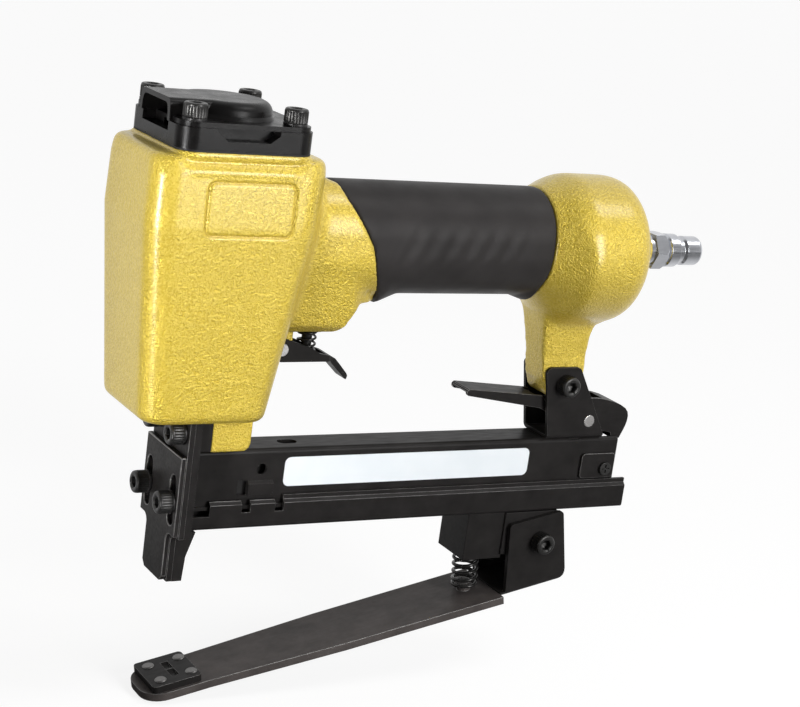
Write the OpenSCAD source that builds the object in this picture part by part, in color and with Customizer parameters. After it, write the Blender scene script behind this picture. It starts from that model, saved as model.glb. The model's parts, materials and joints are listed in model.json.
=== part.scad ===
// Air driven upholstery stapler of the clinching kind.
// Millimetres. X runs from the nose to the air plug and Z is up.
// The origin is the middle of the staple outlet at the tip of the nose, in the plane of the driver blade.

/* [Nose] */
// Width of the nose block
nose_w = 32; // [30:0.5:36]
// Height of the wide part of the nose above the outlet
nose_step_z = 18.8; // [17:0.2:19.2]
// Width of the tongue that ends at the outlet
tongue_w = 18.6; // [16:0.2:21]
// Width of the driver blade
blade_w = 11; // [9:0.2:11.6]
// Thickness of the driver blade
blade_t = 1.2; // [0.8:0.1:1.4]
// Depth of the nose block behind its cover
block_t = 2.6; // [2.2:0.1:2.7]
// Thickness of the nose cover
cover_t = 2.2; // [1.6:0.1:3]
// Thickness of the front plate
plate_t = 2; // [1.5:0.1:3]
// Height of the front plate's top edge
plate_top_z = 50; // [46:0.5:50]
// Length of the two adjusting slots
slot_len = 19; // [14:0.5:21]
// Distance between the two adjusting slots
slot_pitch = 22.2; // [21:0.2:24]
// Height of the screws in the slots
slot_screw_z = 32; // [30:0.5:34]
// Height of the upper nose screws
nose_screw_z = 57.8; // [57:0.2:59]
// Distance between the upper nose screws
nose_screw_pitch = 20.8; // [19:0.2:22]

/* [Head] */
// Width of the head at its widest
head_w = 52; // [50:0.5:58]
// Reach of the head in front of the driver blade
head_front = 30; // [28:0.5:34]
// Reach of the head behind the driver blade
head_rear = 36; // [34:0.5:38]
// Height of the head's underside
head_bottom = 64.4; // [64:0.2:66]
// Height of the shoulder under the cap
head_top = 160.8; // [160:0.2:162]
// Radius of the head's upright corners
head_corner = 9; // [6:0.5:12]
// How much the head narrows in width towards its underside
head_draft = 4; // [1:0.5:6]
// Height of the raised rim that carries the cap
rim_h = 1.2; // [0.8:0.1:2]

/* [Cylinder] */
// Radius of the cylinder bore
bore_r = 13.8; // [12:0.1:14.5]
// Wall of the cylinder sleeve
sleeve_wall = 2.7; // [2:0.1:3]
// Stroke of the driver
stroke = 48; // [44:0.5:50]
// Height of the cylinder floor
floor_z = 78; // [75:0.5:80]
// Height of the bumper
bumper_h = 15.7; // [12:0.1:16]

/* [Cap] */
// Reach of the cap in front of the driver blade
cap_front = 21.8; // [21.4:0.1:23]
// Reach of the cap behind the driver blade
cap_rear = 29.6; // [28.4:0.1:31]
// Width of the cap
cap_w = 48.4; // [48:0.2:50]
// Height of the cap
cap_h = 7.6; // [7:0.2:10]
// Middle of the cap screws behind the driver blade
cap_shift = 3.2; // [2.6:0.2:3.8]
// Distance between the cap screws along the tool
cap_screw_x = 38; // [37:0.2:40]
// Distance between the cap screws across the tool
cap_screw_y = 38.6; // [38:0.2:39.4]
// Height of the hood over the exhaust
hood_h = 6; // [5:0.2:8]
// Radius of the round part of the hood
hood_r = 17.4; // [15:0.2:18]
// Reach of the hood in front of the cap's middle
hood_front = 25.6; // [24:0.2:27]
// Width of the hood's mouth
hood_w = 25; // [20:0.5:27]
// Sheet thickness of the exhaust cover
cover_sheet = 1.8; // [1.2:0.1:2.2]

/* [Handle] */
// Height of the handle's axis
handle_z = 129.2; // [128:0.2:131]
// Height of the grip from top to bottom
grip_h = 42.4; // [40:0.2:44]
// Width of the grip
grip_w = 38; // [36:0.5:40]
// Wall of the rubber grip
grip_wall = 2.8; // [2:0.1:4]
// Front end of the grip at mid height
grip_front = 60.4; // [58:0.2:62]
// Depth of the finger ridges
ridge_depth = 0.6; // [0.3:0.1:1]
// Number of finger ridges
ridge_count = 7; // [4:1:8]

/* [Bulb and leg] */
// Height of the bulb's axis
bulb_z = 126.5; // [125.5:0.1:128]
// Radius of the bulb
bulb_r = 29.5; // [28:0.1:31]
// Front of the bulb's shoulder
bulb_front = 139.6; // [138:0.2:142]
// Rear face of the bulb
bulb_rear = 185.7; // [184:0.1:188]
// Reach of the plug boss behind the bulb
boss_len = 9; // [7:0.2:10]
// Width of the rear leg
leg_w = 14.2; // [12:0.2:15]
// Length of the rear leg from front to back
leg_len = 19; // [17:0.5:22]

/* [Trigger] */
// Distance of the trigger pin behind the driver blade
trigger_x = 35; // [33:0.5:36]
// Height of the trigger pin
trigger_z = 87; // [86:0.2:88]
// Width of the trigger
trigger_w = 12; // [11:0.2:14]
// Reach of the trigger behind its pin
trigger_len = 29.5; // [26:0.5:32]
// Distance of the valve stem behind the trigger pin
valve_dx = 12.4; // [11:0.2:14]
// Height of the trigger housing's underside
housing_z = 95.4; // [94.8:0.2:96.6]

/* [Magazine] */
// Outer width of the fixed magazine
mag_w = 15.8; // [15.2:0.1:16.4]
// Height of the fixed magazine's top
mag_top = 49.6; // [48.8:0.1:50]
// Rear end of the fixed magazine
mag_rear = 192.8; // [188:0.2:194]
// Sheet thickness of the fixed magazine
mag_wall = 1.3; // [1:0.1:1.4]
// Outer width of the sliding magazine
slide_w = 21; // [20.6:0.1:22]
// Height of the sliding magazine's underside
slide_bottom = 19.7; // [19.5:0.1:21]
// Height of the sliding magazine's shoulder
slide_shoulder = 29.3; // [28.6:0.1:30]
// Rear end of the sliding magazine
slide_rear = 198.2; // [197:0.2:203]
// Sheet thickness of the sliding magazine
slide_wall = 1.2; // [1:0.1:1.4]
// Length of the label
label_len = 109; // [90:1:115]
// Height of the label
label_h = 11.4; // [9:0.2:12]

/* [Latch] */
// Bracket bolt, distance behind the driver blade
bracket_x = 161.5; // [160:0.5:164]
// Bracket bolt, height
bracket_z = 72.6; // [71:0.1:74]
// Latch pin, distance behind the bracket bolt
latch_dx = 14.5; // [13:0.1:16]
// Latch pin, height
latch_z = 56.9; // [56.5:0.1:57.5]
// Diameter of the latch pin
latch_pin_d = 5; // [4:0.2:6]
// Reach of the latch handle in front of its pin
latch_reach = 58.6; // [56:0.2:62]
// Sheet thickness of the rear bracket
bracket_wall = 1.5; // [1.2:0.1:2]

/* [Clinch arm] */
// Hinge of the arm, distance behind the driver blade
pivot_x = 158; // [155:0.5:160]
// Hinge of the arm, height
pivot_z = 7.8; // [7:0.1:8.6]
// Angle at which the open arm hangs
arm_angle = 11.6; // [10:0.2:13]
// Depth of the arm's upper face under its hinge
arm_drop = 18.8; // [18:0.1:20]
// Thickness of the arm
arm_t = 3.2; // [2.6:0.1:4]
// Width of the arm at its tip
arm_w_tip = 24; // [23:0.5:26]
// Width of the arm at its rear
arm_w_rear = 31; // [28:0.5:34]
// Length of the anvil plate
anvil_len = 17.6; // [17:0.2:20]
// Width of the anvil plate
anvil_w = 21.6; // [20:0.2:22.6]
// Thickness of the anvil plate
anvil_t = 2.8; // [2.2:0.1:3.2]
// Distance between the anvil rivets
rivet_pitch = 12.4; // [12:0.2:13]
// Diameter of the arm spring
arm_spring_d = 11; // [9:0.2:12]

/* [Screws] */
// Thread diameter of the screws
screw_d = 5; // [4:0.5:5]

/* [Hidden] */
$fn = 48;
// Play between pieces that pass each other
gap = 0.3;
// Play between pieces that slip into each other
fit = 0.1;
// Play around a turning pin or a sliding stem
run = 0.05;
// Length by which a cut runs past the face it opens
over = 1;

// Screws: socket head, its key and the washers under it
screw_r = screw_d / 2;
head_r = 0.85 * screw_d;
key_d = 0.8 * screw_d / cos(30);
washer_r = 0.86 * screw_d;
hole_r = screw_r + fit;

// Layers of the nose, from the driver blade forwards
block_front = -(blade_t / 2 + fit);
block_rear = block_front + block_t;
cover_front = block_front - cover_t;
plate_rear = cover_front - gap / 2;
plate_front = plate_rear - plate_t;
plate_washer_t = 0.8;
plate_seat = plate_front - gap / 2 - plate_washer_t;
nose_washer_t = 1.2;
nose_seat = cover_front - nose_washer_t;
slot_w = screw_d + gap;
saddle_rear = 6.6;
saddle_w = 29;
saddle_bottom = mag_top + 2.2;
foot_len = 15.8;
foot_screw_depth = 12;

// Cylinder stack above the floor
sleeve_r = bore_r + sleeve_wall;
flange_r = sleeve_r + 2.5;
flange_t = 3;
rim_top = head_top + rim_h;
sleeve_top = rim_top - 2;
gasket_t = 0.6;
cap_bottom = rim_top + gasket_t;
cap_top = cap_bottom + cap_h;
valve_disc_r = bore_r + 3.2;
valve_disc_t = 3.6;
valve_room = 2.5;
piston_h = 13;
piston_r = bore_r - fit;
piston_bottom = floor_z + bumper_h + gap + stroke;
blade_tip = stroke;
blade_root = 8;
driver_hole_r = blade_w / 2 + 0.8;
// Air room around the cylinder
air_room_r = sleeve_r + 4.9;
ring_r = 1.2;
ring_z = piston_bottom + 7.5;
ring_floor = bore_r - 2 * ring_r - 2 * run;

// Cap, hood and screws
cap_corner = 7;
cap_washer_t = 1.1;
cap_seat = cap_top + cover_sheet + cap_washer_t;
cap_screw_len = 24;
hood_top = cap_top + cover_sheet + hood_h;
hood_round = 4;

// Handle, grip and bulb
grip_r = grip_w / 2;
grip_rise = (grip_h - grip_w) / 2;
core_r = grip_r - grip_wall;
grip_rear = bulb_front - fit;
chamber_r = core_r - 3.4;
shoulder_len = 16;
bulb_wall = 7.5;
bulb_room_r = bulb_r - bulb_wall;
plug_thread_r = 6.5;
plug_boss_r = 7.8;
// Flat ring around the plug boss; the bulb rounds off from there to its full width
bulb_flat_r = plug_boss_r + 2.7;
bulb_round = bulb_r - bulb_flat_r;
plug_face = bulb_rear + boss_len;

// Trigger valve
valve_x = trigger_x + valve_dx;
stem_r = 2;
guide_r = 5.5;
guide_flange_r = 6.6;
guide_bottom = housing_z - 1.4;
guide_top = housing_z + 13;
seal_r = 0.8;
seal_z = guide_top - 4;
trigger_wall = 1.5;
trigger_floor = trigger_z - 4.6;
trigger_pin_r = 2.5;
stem_foot = trigger_floor + trigger_wall + gap;

// Magazine
mag_front = block_rear + fit;
slide_front = block_rear + 1;
mag_in = mag_w / 2 - mag_wall;
foot_out = slide_w / 2 - slide_wall - gap;
lip_in = mag_w / 2 + gap;
lip_top = slide_shoulder + 2.6;
lip_low = slide_shoulder + 1;
mag_foot_top = slide_shoulder - 1.1;
slide_floor = slide_bottom + slide_wall;
tab_x0 = 26.2;
tab_len = 10.3;
tab_z = lip_top;
tab_h = 5.8;
tab_out = 1.2;
side_hole_x = 31.4;
side_hole_z = mag_top - 7.8;
label_x = 40.8;
label_z = lip_top + 2.8;
label_t = 0.2;

// Rear bracket and latch
bracket_in = leg_w / 2 + gap;
bracket_out = bracket_in + bracket_wall;
leg_front = bracket_x - 9.5;
latch_x = bracket_x + latch_dx;
latch_pin_r = latch_pin_d / 2;
latch_half = mag_in - gap - fit;
latch_wall = 1.3;

// Staple feed inside the magazines
rail_w = 9.2;
rail_wall = 1.2;
rail_top = mag_top - 5.6;
rail_front = slide_front + 1;
rail_rear = latch_x + 8.6;
rod_r = 1.5;
rod_z = slide_floor + 10;
feed_slot = 2.8;
pusher_front = rail_front + 2.4;
pusher_len = 20;
end_t = 3.2;
hook_z = mag_top - mag_wall;
catch_top = hook_z - 0.7;

// Clinch arm, in its own frame: X along the arm and Z square to it, from the hinge
arm_rear = -19;
arm_length = pivot_x / cos(arm_angle) + 10.4;
arm_end_r = 9;
taper_end = -90;
closed_gap = 2.6;
anvil_mid = -sqrt(pow(pivot_x, 2) + pow(pivot_z + closed_gap, 2) - pow(arm_drop - anvil_t, 2));
fork_in = slide_w / 2 + 0.5;
fork_wall = 2;
fork_out = fork_in + fork_wall;
fork_rear = 12;
fork_top = 10.2;
fork_bottom = -(arm_drop + 1.5);
spring_x = pivot_x - 24.5;
block_front_x = spring_x - 9;
block_back_x = spring_x + 9;
block_w = 19.4;
block_bottom = 0.2;
lug_r = 8.5;
arm_spring_wire = 1.4;
pocket_span = blade_w + 1.4;
rivet_r = 1.9;
anvil_lead = 1.9;

// Shapes used by several pieces

// An outline drawn in X and Z, as thick as w across the tool
module side_extrude(w) {
    rotate([90, 0, 0]) linear_extrude(w, center = true) children();
}

// An outline drawn in Y and Z, carried from x0 to x1
module along_x(x0, x1) {
    translate([x0, 0, 0]) rotate([90, 0, 90]) linear_extrude(x1 - x0) children();
}

// Round bars along each axis
module rod_x(r, x0, x1, y = 0, z = 0) {
    translate([x0, y, z]) rotate([0, 90, 0]) cylinder(r = r, h = x1 - x0);
}

module rod_y(r, y0, y1, x = 0, z = 0) {
    translate([x, y0, z]) rotate([-90, 0, 0]) cylinder(r = r, h = y1 - y0);
}

module rod_z(r, z0, z1, x = 0, y = 0) {
    translate([x, y, z0]) cylinder(r = r, h = z1 - z0);
}

// A rectangle with round corners, from x0 to x1 and w wide
module rounded_rect(x0, x1, w, r) {
    translate([x0 + r, -w / 2]) square([x1 - x0 - 2 * r, w]);
    translate([x0, -w / 2 + r]) square([x1 - x0, w - 2 * r]);
    for (x = [x0 + r, x1 - r], y = [-w / 2 + r, w / 2 - r])
        translate([x, y]) circle(r);
}

// A block given by its lower and upper corner
module box(low, high) {
    translate(low) cube(high - low);
}

// Points on an arc
function arc(x, y, r, a0, a1, n = 8) =
    [for (i = [0:n]) let (a = a0 + (a1 - a0) * i / n) [x + r * cos(a), y + r * sin(a)]];

// The same points mirrored across the X axis, in reverse order
function flip(points) = [for (i = [len(points) - 1:-1:0]) [points[i][0], -points[i][1]]];

// A stadium standing on its end: the section of the handle and the grip
module stadium(r, rise) {
    translate([0, rise]) circle(r);
    translate([0, -rise]) circle(r);
    if (rise > 0) square([2 * r, 2 * rise], center = true);
}

// A socket head screw that hangs from its seat at height 0
module socket_screw(length) {
    difference() {
        union() {
            cylinder(r = head_r, h = screw_d);
            translate([0, 0, -length]) cylinder(r = screw_r, h = length + screw_d / 4);
        }
        translate([0, 0, screw_d / 2]) cylinder(d = key_d, h = screw_d, $fn = 6);
    }
}

// A washer that stands on height 0
module washer(t) {
    difference() {
        cylinder(r = washer_r, h = t);
        translate([0, 0, -over]) cylinder(r = hole_r, h = t + 2 * over);
    }
}

// A hexagon nut that stands on height 0
module nut() {
    difference() {
        cylinder(d = 1.6 * screw_d / cos(30), h = 0.8 * screw_d, $fn = 6);
        translate([0, 0, -over]) cylinder(r = hole_r, h = screw_d + 2 * over);
    }
}

// Springs: a helix about Z with a straight stretch at each end, as rings of six points
rings_per_turn = 8;
tube_sides = 6;

function helix_frame(r, h, turns, a) = [
    [r * cos(a), r * sin(a), h * a / (360 * turns)],
    [cos(a), sin(a), 0],
    let (rise = h / (2 * PI * turns), n = sqrt(r * r + rise * rise))
        [-r * sin(a) / n, r * cos(a) / n, rise / n]
];

function tube_ring(centre, out, along, wire) =
    [for (k = [0:tube_sides - 1])
        let (a = 360 * k / tube_sides)
        centre + wire / 2 * (cos(a) * out + sin(a) * cross(along, out))];

function spring_centres(r, h, turns, wire, leg) =
    let (
        n = rings_per_turn * turns,
        frames = [for (i = [0:n]) helix_frame(r, h, turns, 360 * turns * i / n)],
        first = frames[0],
        last = frames[n]
    )
    concat(
        [[first[0] - leg * first[2], first[1], first[2]]],
        frames,
        [[last[0] + leg * last[2], last[1], last[2]]]
    );

// Least clear distance between one turn and the next, measured on the centres of the rings
function least_gap(frames, wire) =
    min([for (i = [0:len(frames) - 1], j = [i + rings_per_turn - 2:1:len(frames) - 1])
        norm(frames[j][0] - frames[i][0])]) - wire;

module spring(name, r, h, turns, wire, leg) {
    frames = spring_centres(r, h, turns, wire, leg);
    count = len(frames);
    last = (count - 1) * tube_sides;
    echo(str(name, ": least gap between its turns, mm"), least_gap(frames, wire));
    polyhedron(
        points = [for (f = frames) each tube_ring(f[0], f[1], f[2], wire)],
        faces = concat(
            [for (k = [1:tube_sides - 2]) [0, k, k + 1]],
            [for (i = [0:count - 2], k = [0:tube_sides - 1])
                let (a = i * tube_sides + k, b = i * tube_sides + (k + 1) % tube_sides)
                each [[a, a + tube_sides, b], [b, a + tube_sides, b + tube_sides]]],
            [for (k = [1:tube_sides - 2]) [last, last + k + 1, last + k]]
        )
    );
}

// Body casting

// Four round corner pads of the head at one height, their rims rounded by edge
module head_level(z, front, rear, w, edge) {
    for (x = [-front + head_corner, rear - head_corner], y = [-1, 1])
        translate([x, y * (w / 2 - head_corner), z])
            rotate_extrude($fn = 32) polygon(concat(
                [[0, -edge]], arc(head_corner - edge, 0, edge, -90, 90, 6), [[0, edge]]));
}

module head_shell() {
    edge = 3.4;
    step = 6.5;
    hull() {
        head_level(head_top - edge, head_front - 0.5, head_rear + 1.2, head_w - 3, edge);
        head_level(head_top - step, head_front - 0.4, head_rear + 1, head_w - 1, edge);
        head_level(head_top - 25, head_front, head_rear, head_w, edge);
        head_level(head_bottom + edge, head_front - 6, head_rear - 10.8, head_w - head_draft, edge);
    }
}

module head_rim() {
    margin = 0.3;
    translate([0, 0, head_top - 6])
        linear_extrude(rim_h + 6)
            rounded_rect(-cap_front - margin, cap_rear + margin, cap_w + 2 * margin, cap_corner + margin);
}

// The slanted joint between the neck and the grip, from above the handle to below it
joint = [
    [grip_front - 13, handle_z + 40], [grip_front - 12.8, handle_z + 22.4],
    [grip_front - 10.4, handle_z + 16.2], [grip_front, handle_z],
    [grip_front + 3, handle_z - 10], [grip_front + 11, handle_z - 26],
    [grip_front + 11, handle_z - 60]
];

// Neck between the head and the grip, with the trigger housing under it
module neck() {
    low = housing_z - handle_z;
    joint_end = grip_front + 11;
    side = concat(
        [[20, housing_z]],
        arc(grip_front - 9, housing_z + 4, 4, -90, -30),
        [[grip_front, handle_z - 22.6], [joint_end, handle_z - 22.6], [joint_end, handle_z + grip_h / 2]],
        [[grip_front - 14, handle_z + grip_h / 2], [head_rear + 2, head_top - 6], [20, head_top - 6]]
    );
    section = [
        [-11.5, low], [11.5, low], [14.5, low + 3], [grip_r, -4], [grip_r, grip_rise],
        [-grip_r, grip_rise], [-grip_r, -4], [-14.5, low + 3]
    ];
    plan = [
        [19, grip_r + 2], [grip_front - 13, grip_r + 1], [grip_front - 3, 16], [grip_front + 5, 11],
        [joint_end, 5]
    ];
    intersection() {
        side_extrude(2 * grip_r + 2) polygon(side);
        side_extrude(2 * grip_r + 2) polygon(concat([[0, handle_z + 40]], joint, [[0, handle_z - 60]]));
        union() {
            translate([0, 0, handle_z]) along_x(20, joint_end + over) stadium(grip_r, grip_rise + 1.6);
            intersection() {
                translate([0, 0, handle_z]) along_x(20, joint_end) polygon(section);
                translate([0, 0, housing_z - over])
                    linear_extrude(handle_z) polygon(concat(plan, flip(plan)));
            }
        }
    }
}

// Shoulder that grows from the section of the grip to the round bulb
module bulb_shoulder() {
    lip = 0.6;
    hull() {
        translate([0, 0, handle_z]) along_x(bulb_front, bulb_front + lip) stadium(grip_r, grip_rise);
        for (i = [0:4]) {
            x = bulb_front + shoulder_len * (0.5 + i / 8);
            rod_x(bulb_r * (0.93 + 0.07 * sin(90 * i / 4)), x, x + lip, 0, bulb_z);
        }
    }
}

// Round part of the bulb and the boss of the plug, turned about the bulb's axis
module bulb() {
    outline = concat(
        [[0, bulb_front + shoulder_len], [bulb_r, bulb_front + shoulder_len]],
        [for (p = arc(bulb_rear - bulb_round, bulb_r - bulb_round, bulb_round, 90, 0, 12)) [p[1], p[0]]],
        [[plug_boss_r + 1, bulb_rear], [plug_boss_r, bulb_rear + 1], [plug_boss_r, bulb_rear + boss_len]],
        [[0, bulb_rear + boss_len]]
    );
    translate([0, 0, bulb_z]) rotate([0, 90, 0]) rotate_extrude() polygon(outline);
}

module leg() {
    leg_rear = leg_front + leg_len;
    foot_z = bracket_z - 6;
    side = concat(
        [[leg_front - 7, bulb_z - 18], [leg_front - 5, bulb_z - 27]],
        [[leg_front, bracket_z + 1]],
        arc(leg_front + 6, foot_z + 5, 5, 180, 270, 5),
        arc(leg_rear - 4, foot_z + 4, 4, 270, 360, 5),
        [[leg_rear, bulb_z - 34]],
        arc(leg_rear + 8, bulb_z - 34, 8, 180, 120, 6),
        [[leg_rear + 12, bulb_z - 18]]
    );
    waist = bracket_z + 11 - bulb_z;
    section = [
        [-leg_w / 2, -70], [leg_w / 2, -70], [leg_w / 2, waist],
        [leg_w / 2 + 2.4, -22], [leg_w / 2 + 2.4, -10],
        [-leg_w / 2 - 2.4, -10], [-leg_w / 2 - 2.4, -22], [-leg_w / 2, waist]
    ];
    intersection() {
        side_extrude(leg_w + 10) polygon(side);
        translate([0, 0, bulb_z]) along_x(leg_front - 20, leg_front + 60) polygon(section);
    }
}

// Foot under the head: it takes the nose screws and sits on the fixed magazine
module foot() {
    rear = saddle_rear + foot_len;
    low = saddle_bottom - 0.6;
    side_extrude(saddle_w) polygon(concat(
        [[saddle_rear, low]],
        arc(rear - 3, low + 3, 3, 270, 360, 5),
        [[rear, head_bottom + 8], [saddle_rear, head_bottom + 8]]
    ));
    box([saddle_rear, -mag_in, mag_top], [rear - 3, mag_in, low + over]);
}

// Ear that carries the trigger pin
module trigger_ear() {
    ear_r = trigger_pin_r + 2.2;
    side_extrude(trigger_w - 2 * trigger_wall - 2 * gap) {
        translate([trigger_x, trigger_z]) circle(ear_r);
        polygon([
            [20, trigger_z - ear_r], [trigger_x, trigger_z - ear_r], [trigger_x + ear_r, trigger_z],
            [trigger_x + ear_r, housing_z + 4], [20, housing_z + 4]
        ]);
    }
}

module cap_screw_places() {
    for (x = [-1, 1], y = [-1, 1])
        translate([cap_shift + x * cap_screw_x / 2, y * cap_screw_y / 2, 0]) children();
}

module nose_screw_places(pitch, z) {
    for (y = [-1, 1])
        translate([0, y * pitch / 2, z]) rotate([0, -90, 0]) children();
}

// Bare sunk frame on the head's side, in the slope of the casting
module side_frame() {
    slope = atan(0.6 / 21.6);
    depth = 0.6;
    line = 0.8;
    length = 34;
    height = 19.4;
    corner = 3.4;
    translate([cap_shift + 3.1, -(head_w - 1.2) / 2 - 0.42 + depth, head_top - 18])
        rotate([90 + slope, 0, 0])
            linear_extrude(6) difference() {
                rounded_rect(-length / 2, length / 2, height, corner);
                rounded_rect(line - length / 2, length / 2 - line, height - 2 * line, corner - line);
            }
}

module body_casting() {
    color("goldenrod") difference() {
        union() {
            head_shell();
            head_rim();
            neck();
            translate([0, 0, handle_z]) along_x(40, bulb_front + 6) stadium(core_r, grip_rise);
            bulb_shoulder();
            bulb();
            leg();
            foot();
            trigger_ear();
        }
        rod_z(sleeve_r + run, floor_z, rim_top + over);
        rod_z(flange_r + fit, sleeve_top - flange_t, rim_top + over);
        rod_z(driver_hole_r, head_bottom - over, floor_z + over);
        rod_z(air_room_r, floor_z + 14, head_top - 11);
        rod_x(bulb_room_r, bulb_front + shoulder_len - 4, bulb_rear - bulb_wall - 4, 0, bulb_z);
        rod_x(chamber_r, head_rear, bulb_rear - 12, 0, handle_z);
        rod_x(plug_thread_r + fit, bulb_rear - 14, plug_face + over, 0, bulb_z);
        rod_z(guide_r + run, housing_z - over, handle_z, valve_x);
        rod_z(guide_flange_r + fit, housing_z - over, housing_z + 1.2, valve_x);
        rod_y(trigger_pin_r + run, -trigger_w, trigger_w, trigger_x, trigger_z);
        rod_y(hole_r, -leg_w, leg_w, bracket_x, bracket_z);
        cap_screw_places() rod_z(hole_r, cap_seat - cap_screw_len - 2, rim_top + over);
        for (y = [-1, 1])
            translate([0, y * nose_screw_pitch / 2, nose_screw_z])
                rod_x(hole_r, saddle_rear - over, saddle_rear + foot_screw_depth);
        side_frame();
    }
}

// Cap, exhaust cover and their screws

module cap_outline() {
    rounded_rect(-cap_front, cap_rear, cap_w, cap_corner);
}

module cap_gasket() {
    color("dimgray") difference() {
        translate([0, 0, rim_top]) linear_extrude(gasket_t) cap_outline();
        rod_z(flange_r + fit, rim_top - over, cap_bottom + over);
        cap_screw_places() rod_z(hole_r, rim_top - over, cap_bottom + over);
    }
}

module cylinder_cap() {
    scoop_w = 5;
    scoop = [[-11, cap_top + over], [-11, cap_top - 0.8], [-7, cap_top - 4.2], [9, cap_top - 4.2],
        [12.5, cap_top - 1.6], [12.5, cap_top + over]];
    color("#262626") difference() {
        translate([0, 0, cap_bottom]) linear_extrude(cap_h) cap_outline();
        rod_z(valve_disc_r + 0.2, cap_bottom - over, cap_top - 1.4);
        cap_screw_places() rod_z(hole_r + fit, cap_bottom - over, cap_top + over);
        for (y = [-1, 1])
            translate([cap_shift - 1, y * (cap_w / 2 - scoop_w / 2 + over / 2), 0])
                side_extrude(scoop_w + over) polygon(scoop);
        box([-cap_front - over, -hood_w / 2 + 1, cap_top - 3.4],
            [5 - cap_front, hood_w / 2 - 1, cap_top + over]);
    }
}

// Outside of the hood, smaller by inset on every side
module hood(inset) {
    low = cap_top - over;
    top = hood_top - inset;
    half = hood_w / 2 - inset;
    round_r = hood_r - inset;
    translate([cap_shift, 0, 0]) rotate_extrude() polygon(concat(
        [[0, low], [round_r + 1, low], [round_r + 1, cap_top + cover_sheet]],
        [[round_r, cap_top + cover_sheet + 1.4]],
        arc(round_r - hood_round, top - hood_round, hood_round, 0, 90, 6),
        [[0, top]]
    ));
    along_x(cap_shift - hood_front - (inset > 0 ? over : 0), cap_shift) polygon(concat(
        [[-half - 1, low], [half + 1, low], [half + 0.6, cap_top + cover_sheet + 1.4]],
        arc(half - 2, top - 2.4, 2.4, 0, 90, 4),
        arc(-half + 2, top - 2.4, 2.4, 90, 180, 4),
        [[-half - 0.6, cap_top + cover_sheet + 1.4]]
    ));
}

module exhaust_cover() {
    color("#303030") difference() {
        union() {
            translate([0, 0, cap_top]) linear_extrude(cover_sheet)
                rounded_rect(0.8 - cap_front, cap_rear - 0.8, cap_w - 1.6, cap_corner - 0.8);
            intersection() {
                hood(0);
                box([-100, -100, cap_top], [100, 100, hood_top + over]);
            }
        }
        hood(cover_sheet);
        cap_screw_places() rod_z(hole_r + fit, cap_top - over, hood_top);
    }
}

module cap_washers() {
    color("#1c1c1c") cap_screw_places() translate([0, 0, cap_seat - cap_washer_t]) washer(cap_washer_t);
}

module cap_screws() {
    color("#2b2b2b") cap_screw_places() translate([0, 0, cap_seat]) socket_screw(cap_screw_len);
}

// Cylinder, piston and head valve

module cylinder_sleeve() {
    color("silver") difference() {
        union() {
            rod_z(sleeve_r, floor_z, sleeve_top);
            rod_z(flange_r, sleeve_top - flange_t, sleeve_top);
        }
        rod_z(bore_r, floor_z - over, sleeve_top + over);
    }
}

module bumper() {
    color("#3a2a20") translate([0, 0, floor_z]) rotate_extrude() polygon(concat(
        [[driver_hole_r + 0.6, 0], [bore_r - fit, 0], [bore_r - fit, 0.35 * bumper_h]],
        [[bore_r - 2, 0.55 * bumper_h], [bore_r - 2, bumper_h], [driver_hole_r + 0.6, bumper_h]]
    ));
}

module piston() {
    groove_h = 2 * ring_r + 0.4;
    color("gainsboro") difference() {
        rod_z(piston_r, piston_bottom, piston_bottom + piston_h);
        rod_z(piston_r - 4, piston_bottom + piston_h - 3, piston_bottom + piston_h + over);
        translate([0, 0, ring_z - groove_h / 2]) difference() {
            cylinder(r = bore_r, h = groove_h);
            cylinder(r = ring_floor, h = groove_h);
        }
        box([-blade_t / 2 - run, -blade_w / 2 - run, piston_bottom - over],
            [blade_t / 2 + run, blade_w / 2 + run, piston_bottom + blade_root + run]);
    }
}

module piston_ring() {
    color("black") translate([0, 0, ring_z])
        rotate_extrude() translate([bore_r - run - ring_r, 0]) circle(ring_r, $fn = 24);
}

module driver_blade() {
    color("lightsteelblue") difference() {
        box([-blade_t / 2, -blade_w / 2, blade_tip], [blade_t / 2, blade_w / 2, piston_bottom + blade_root]);
        rod_x(1.6, -blade_t, blade_t, 0, piston_bottom + blade_root / 2);
    }
}

module head_valve() {
    low = sleeve_top + run;
    color("whitesmoke") difference() {
        rod_z(valve_disc_r, low, low + valve_disc_t);
        rod_z(8, low + valve_disc_t - 1.2, low + valve_disc_t + over);
    }
}

module head_valve_spring() {
    wire = 1;
    low = sleeve_top + run + valve_disc_t + wire / 2 + fit;
    high = cap_top - 1.4 - wire / 2 - fit;
    color("silver") translate([0, 0, low]) spring("head valve spring", 11, high - low, 2, wire, wire);
}

// Grip

// Space that the grip takes, with a slanted front end and both lower ends turned out
module grip_solid() {
    low = handle_z - grip_h / 2;
    front_x = grip_front + 10;
    front_lip = 4;
    rear_lip = 2.6;
    fade = 11.6;
    axis_z = low + 12;
    intersection() {
        union() {
            translate([0, 0, handle_z]) along_x(20, grip_rear) stadium(grip_r, grip_rise);
            rod_x(12 + front_lip, front_x - 14, front_x, 0, axis_z);
            translate([front_x, 0, axis_z]) rotate([0, 90, 0])
                cylinder(r1 = 12 + front_lip, r2 = fade, h = fade);
            translate([grip_rear, 0, axis_z]) rotate([0, -90, 0])
                cylinder(r1 = 12 + rear_lip, r2 = fade, h = 0.8 * fade);
        }
        side_extrude(2 * grip_r + 4)
            polygon(concat(joint, [[grip_rear, handle_z - 60], [grip_rear, handle_z + 40]]));
    }
}

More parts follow.
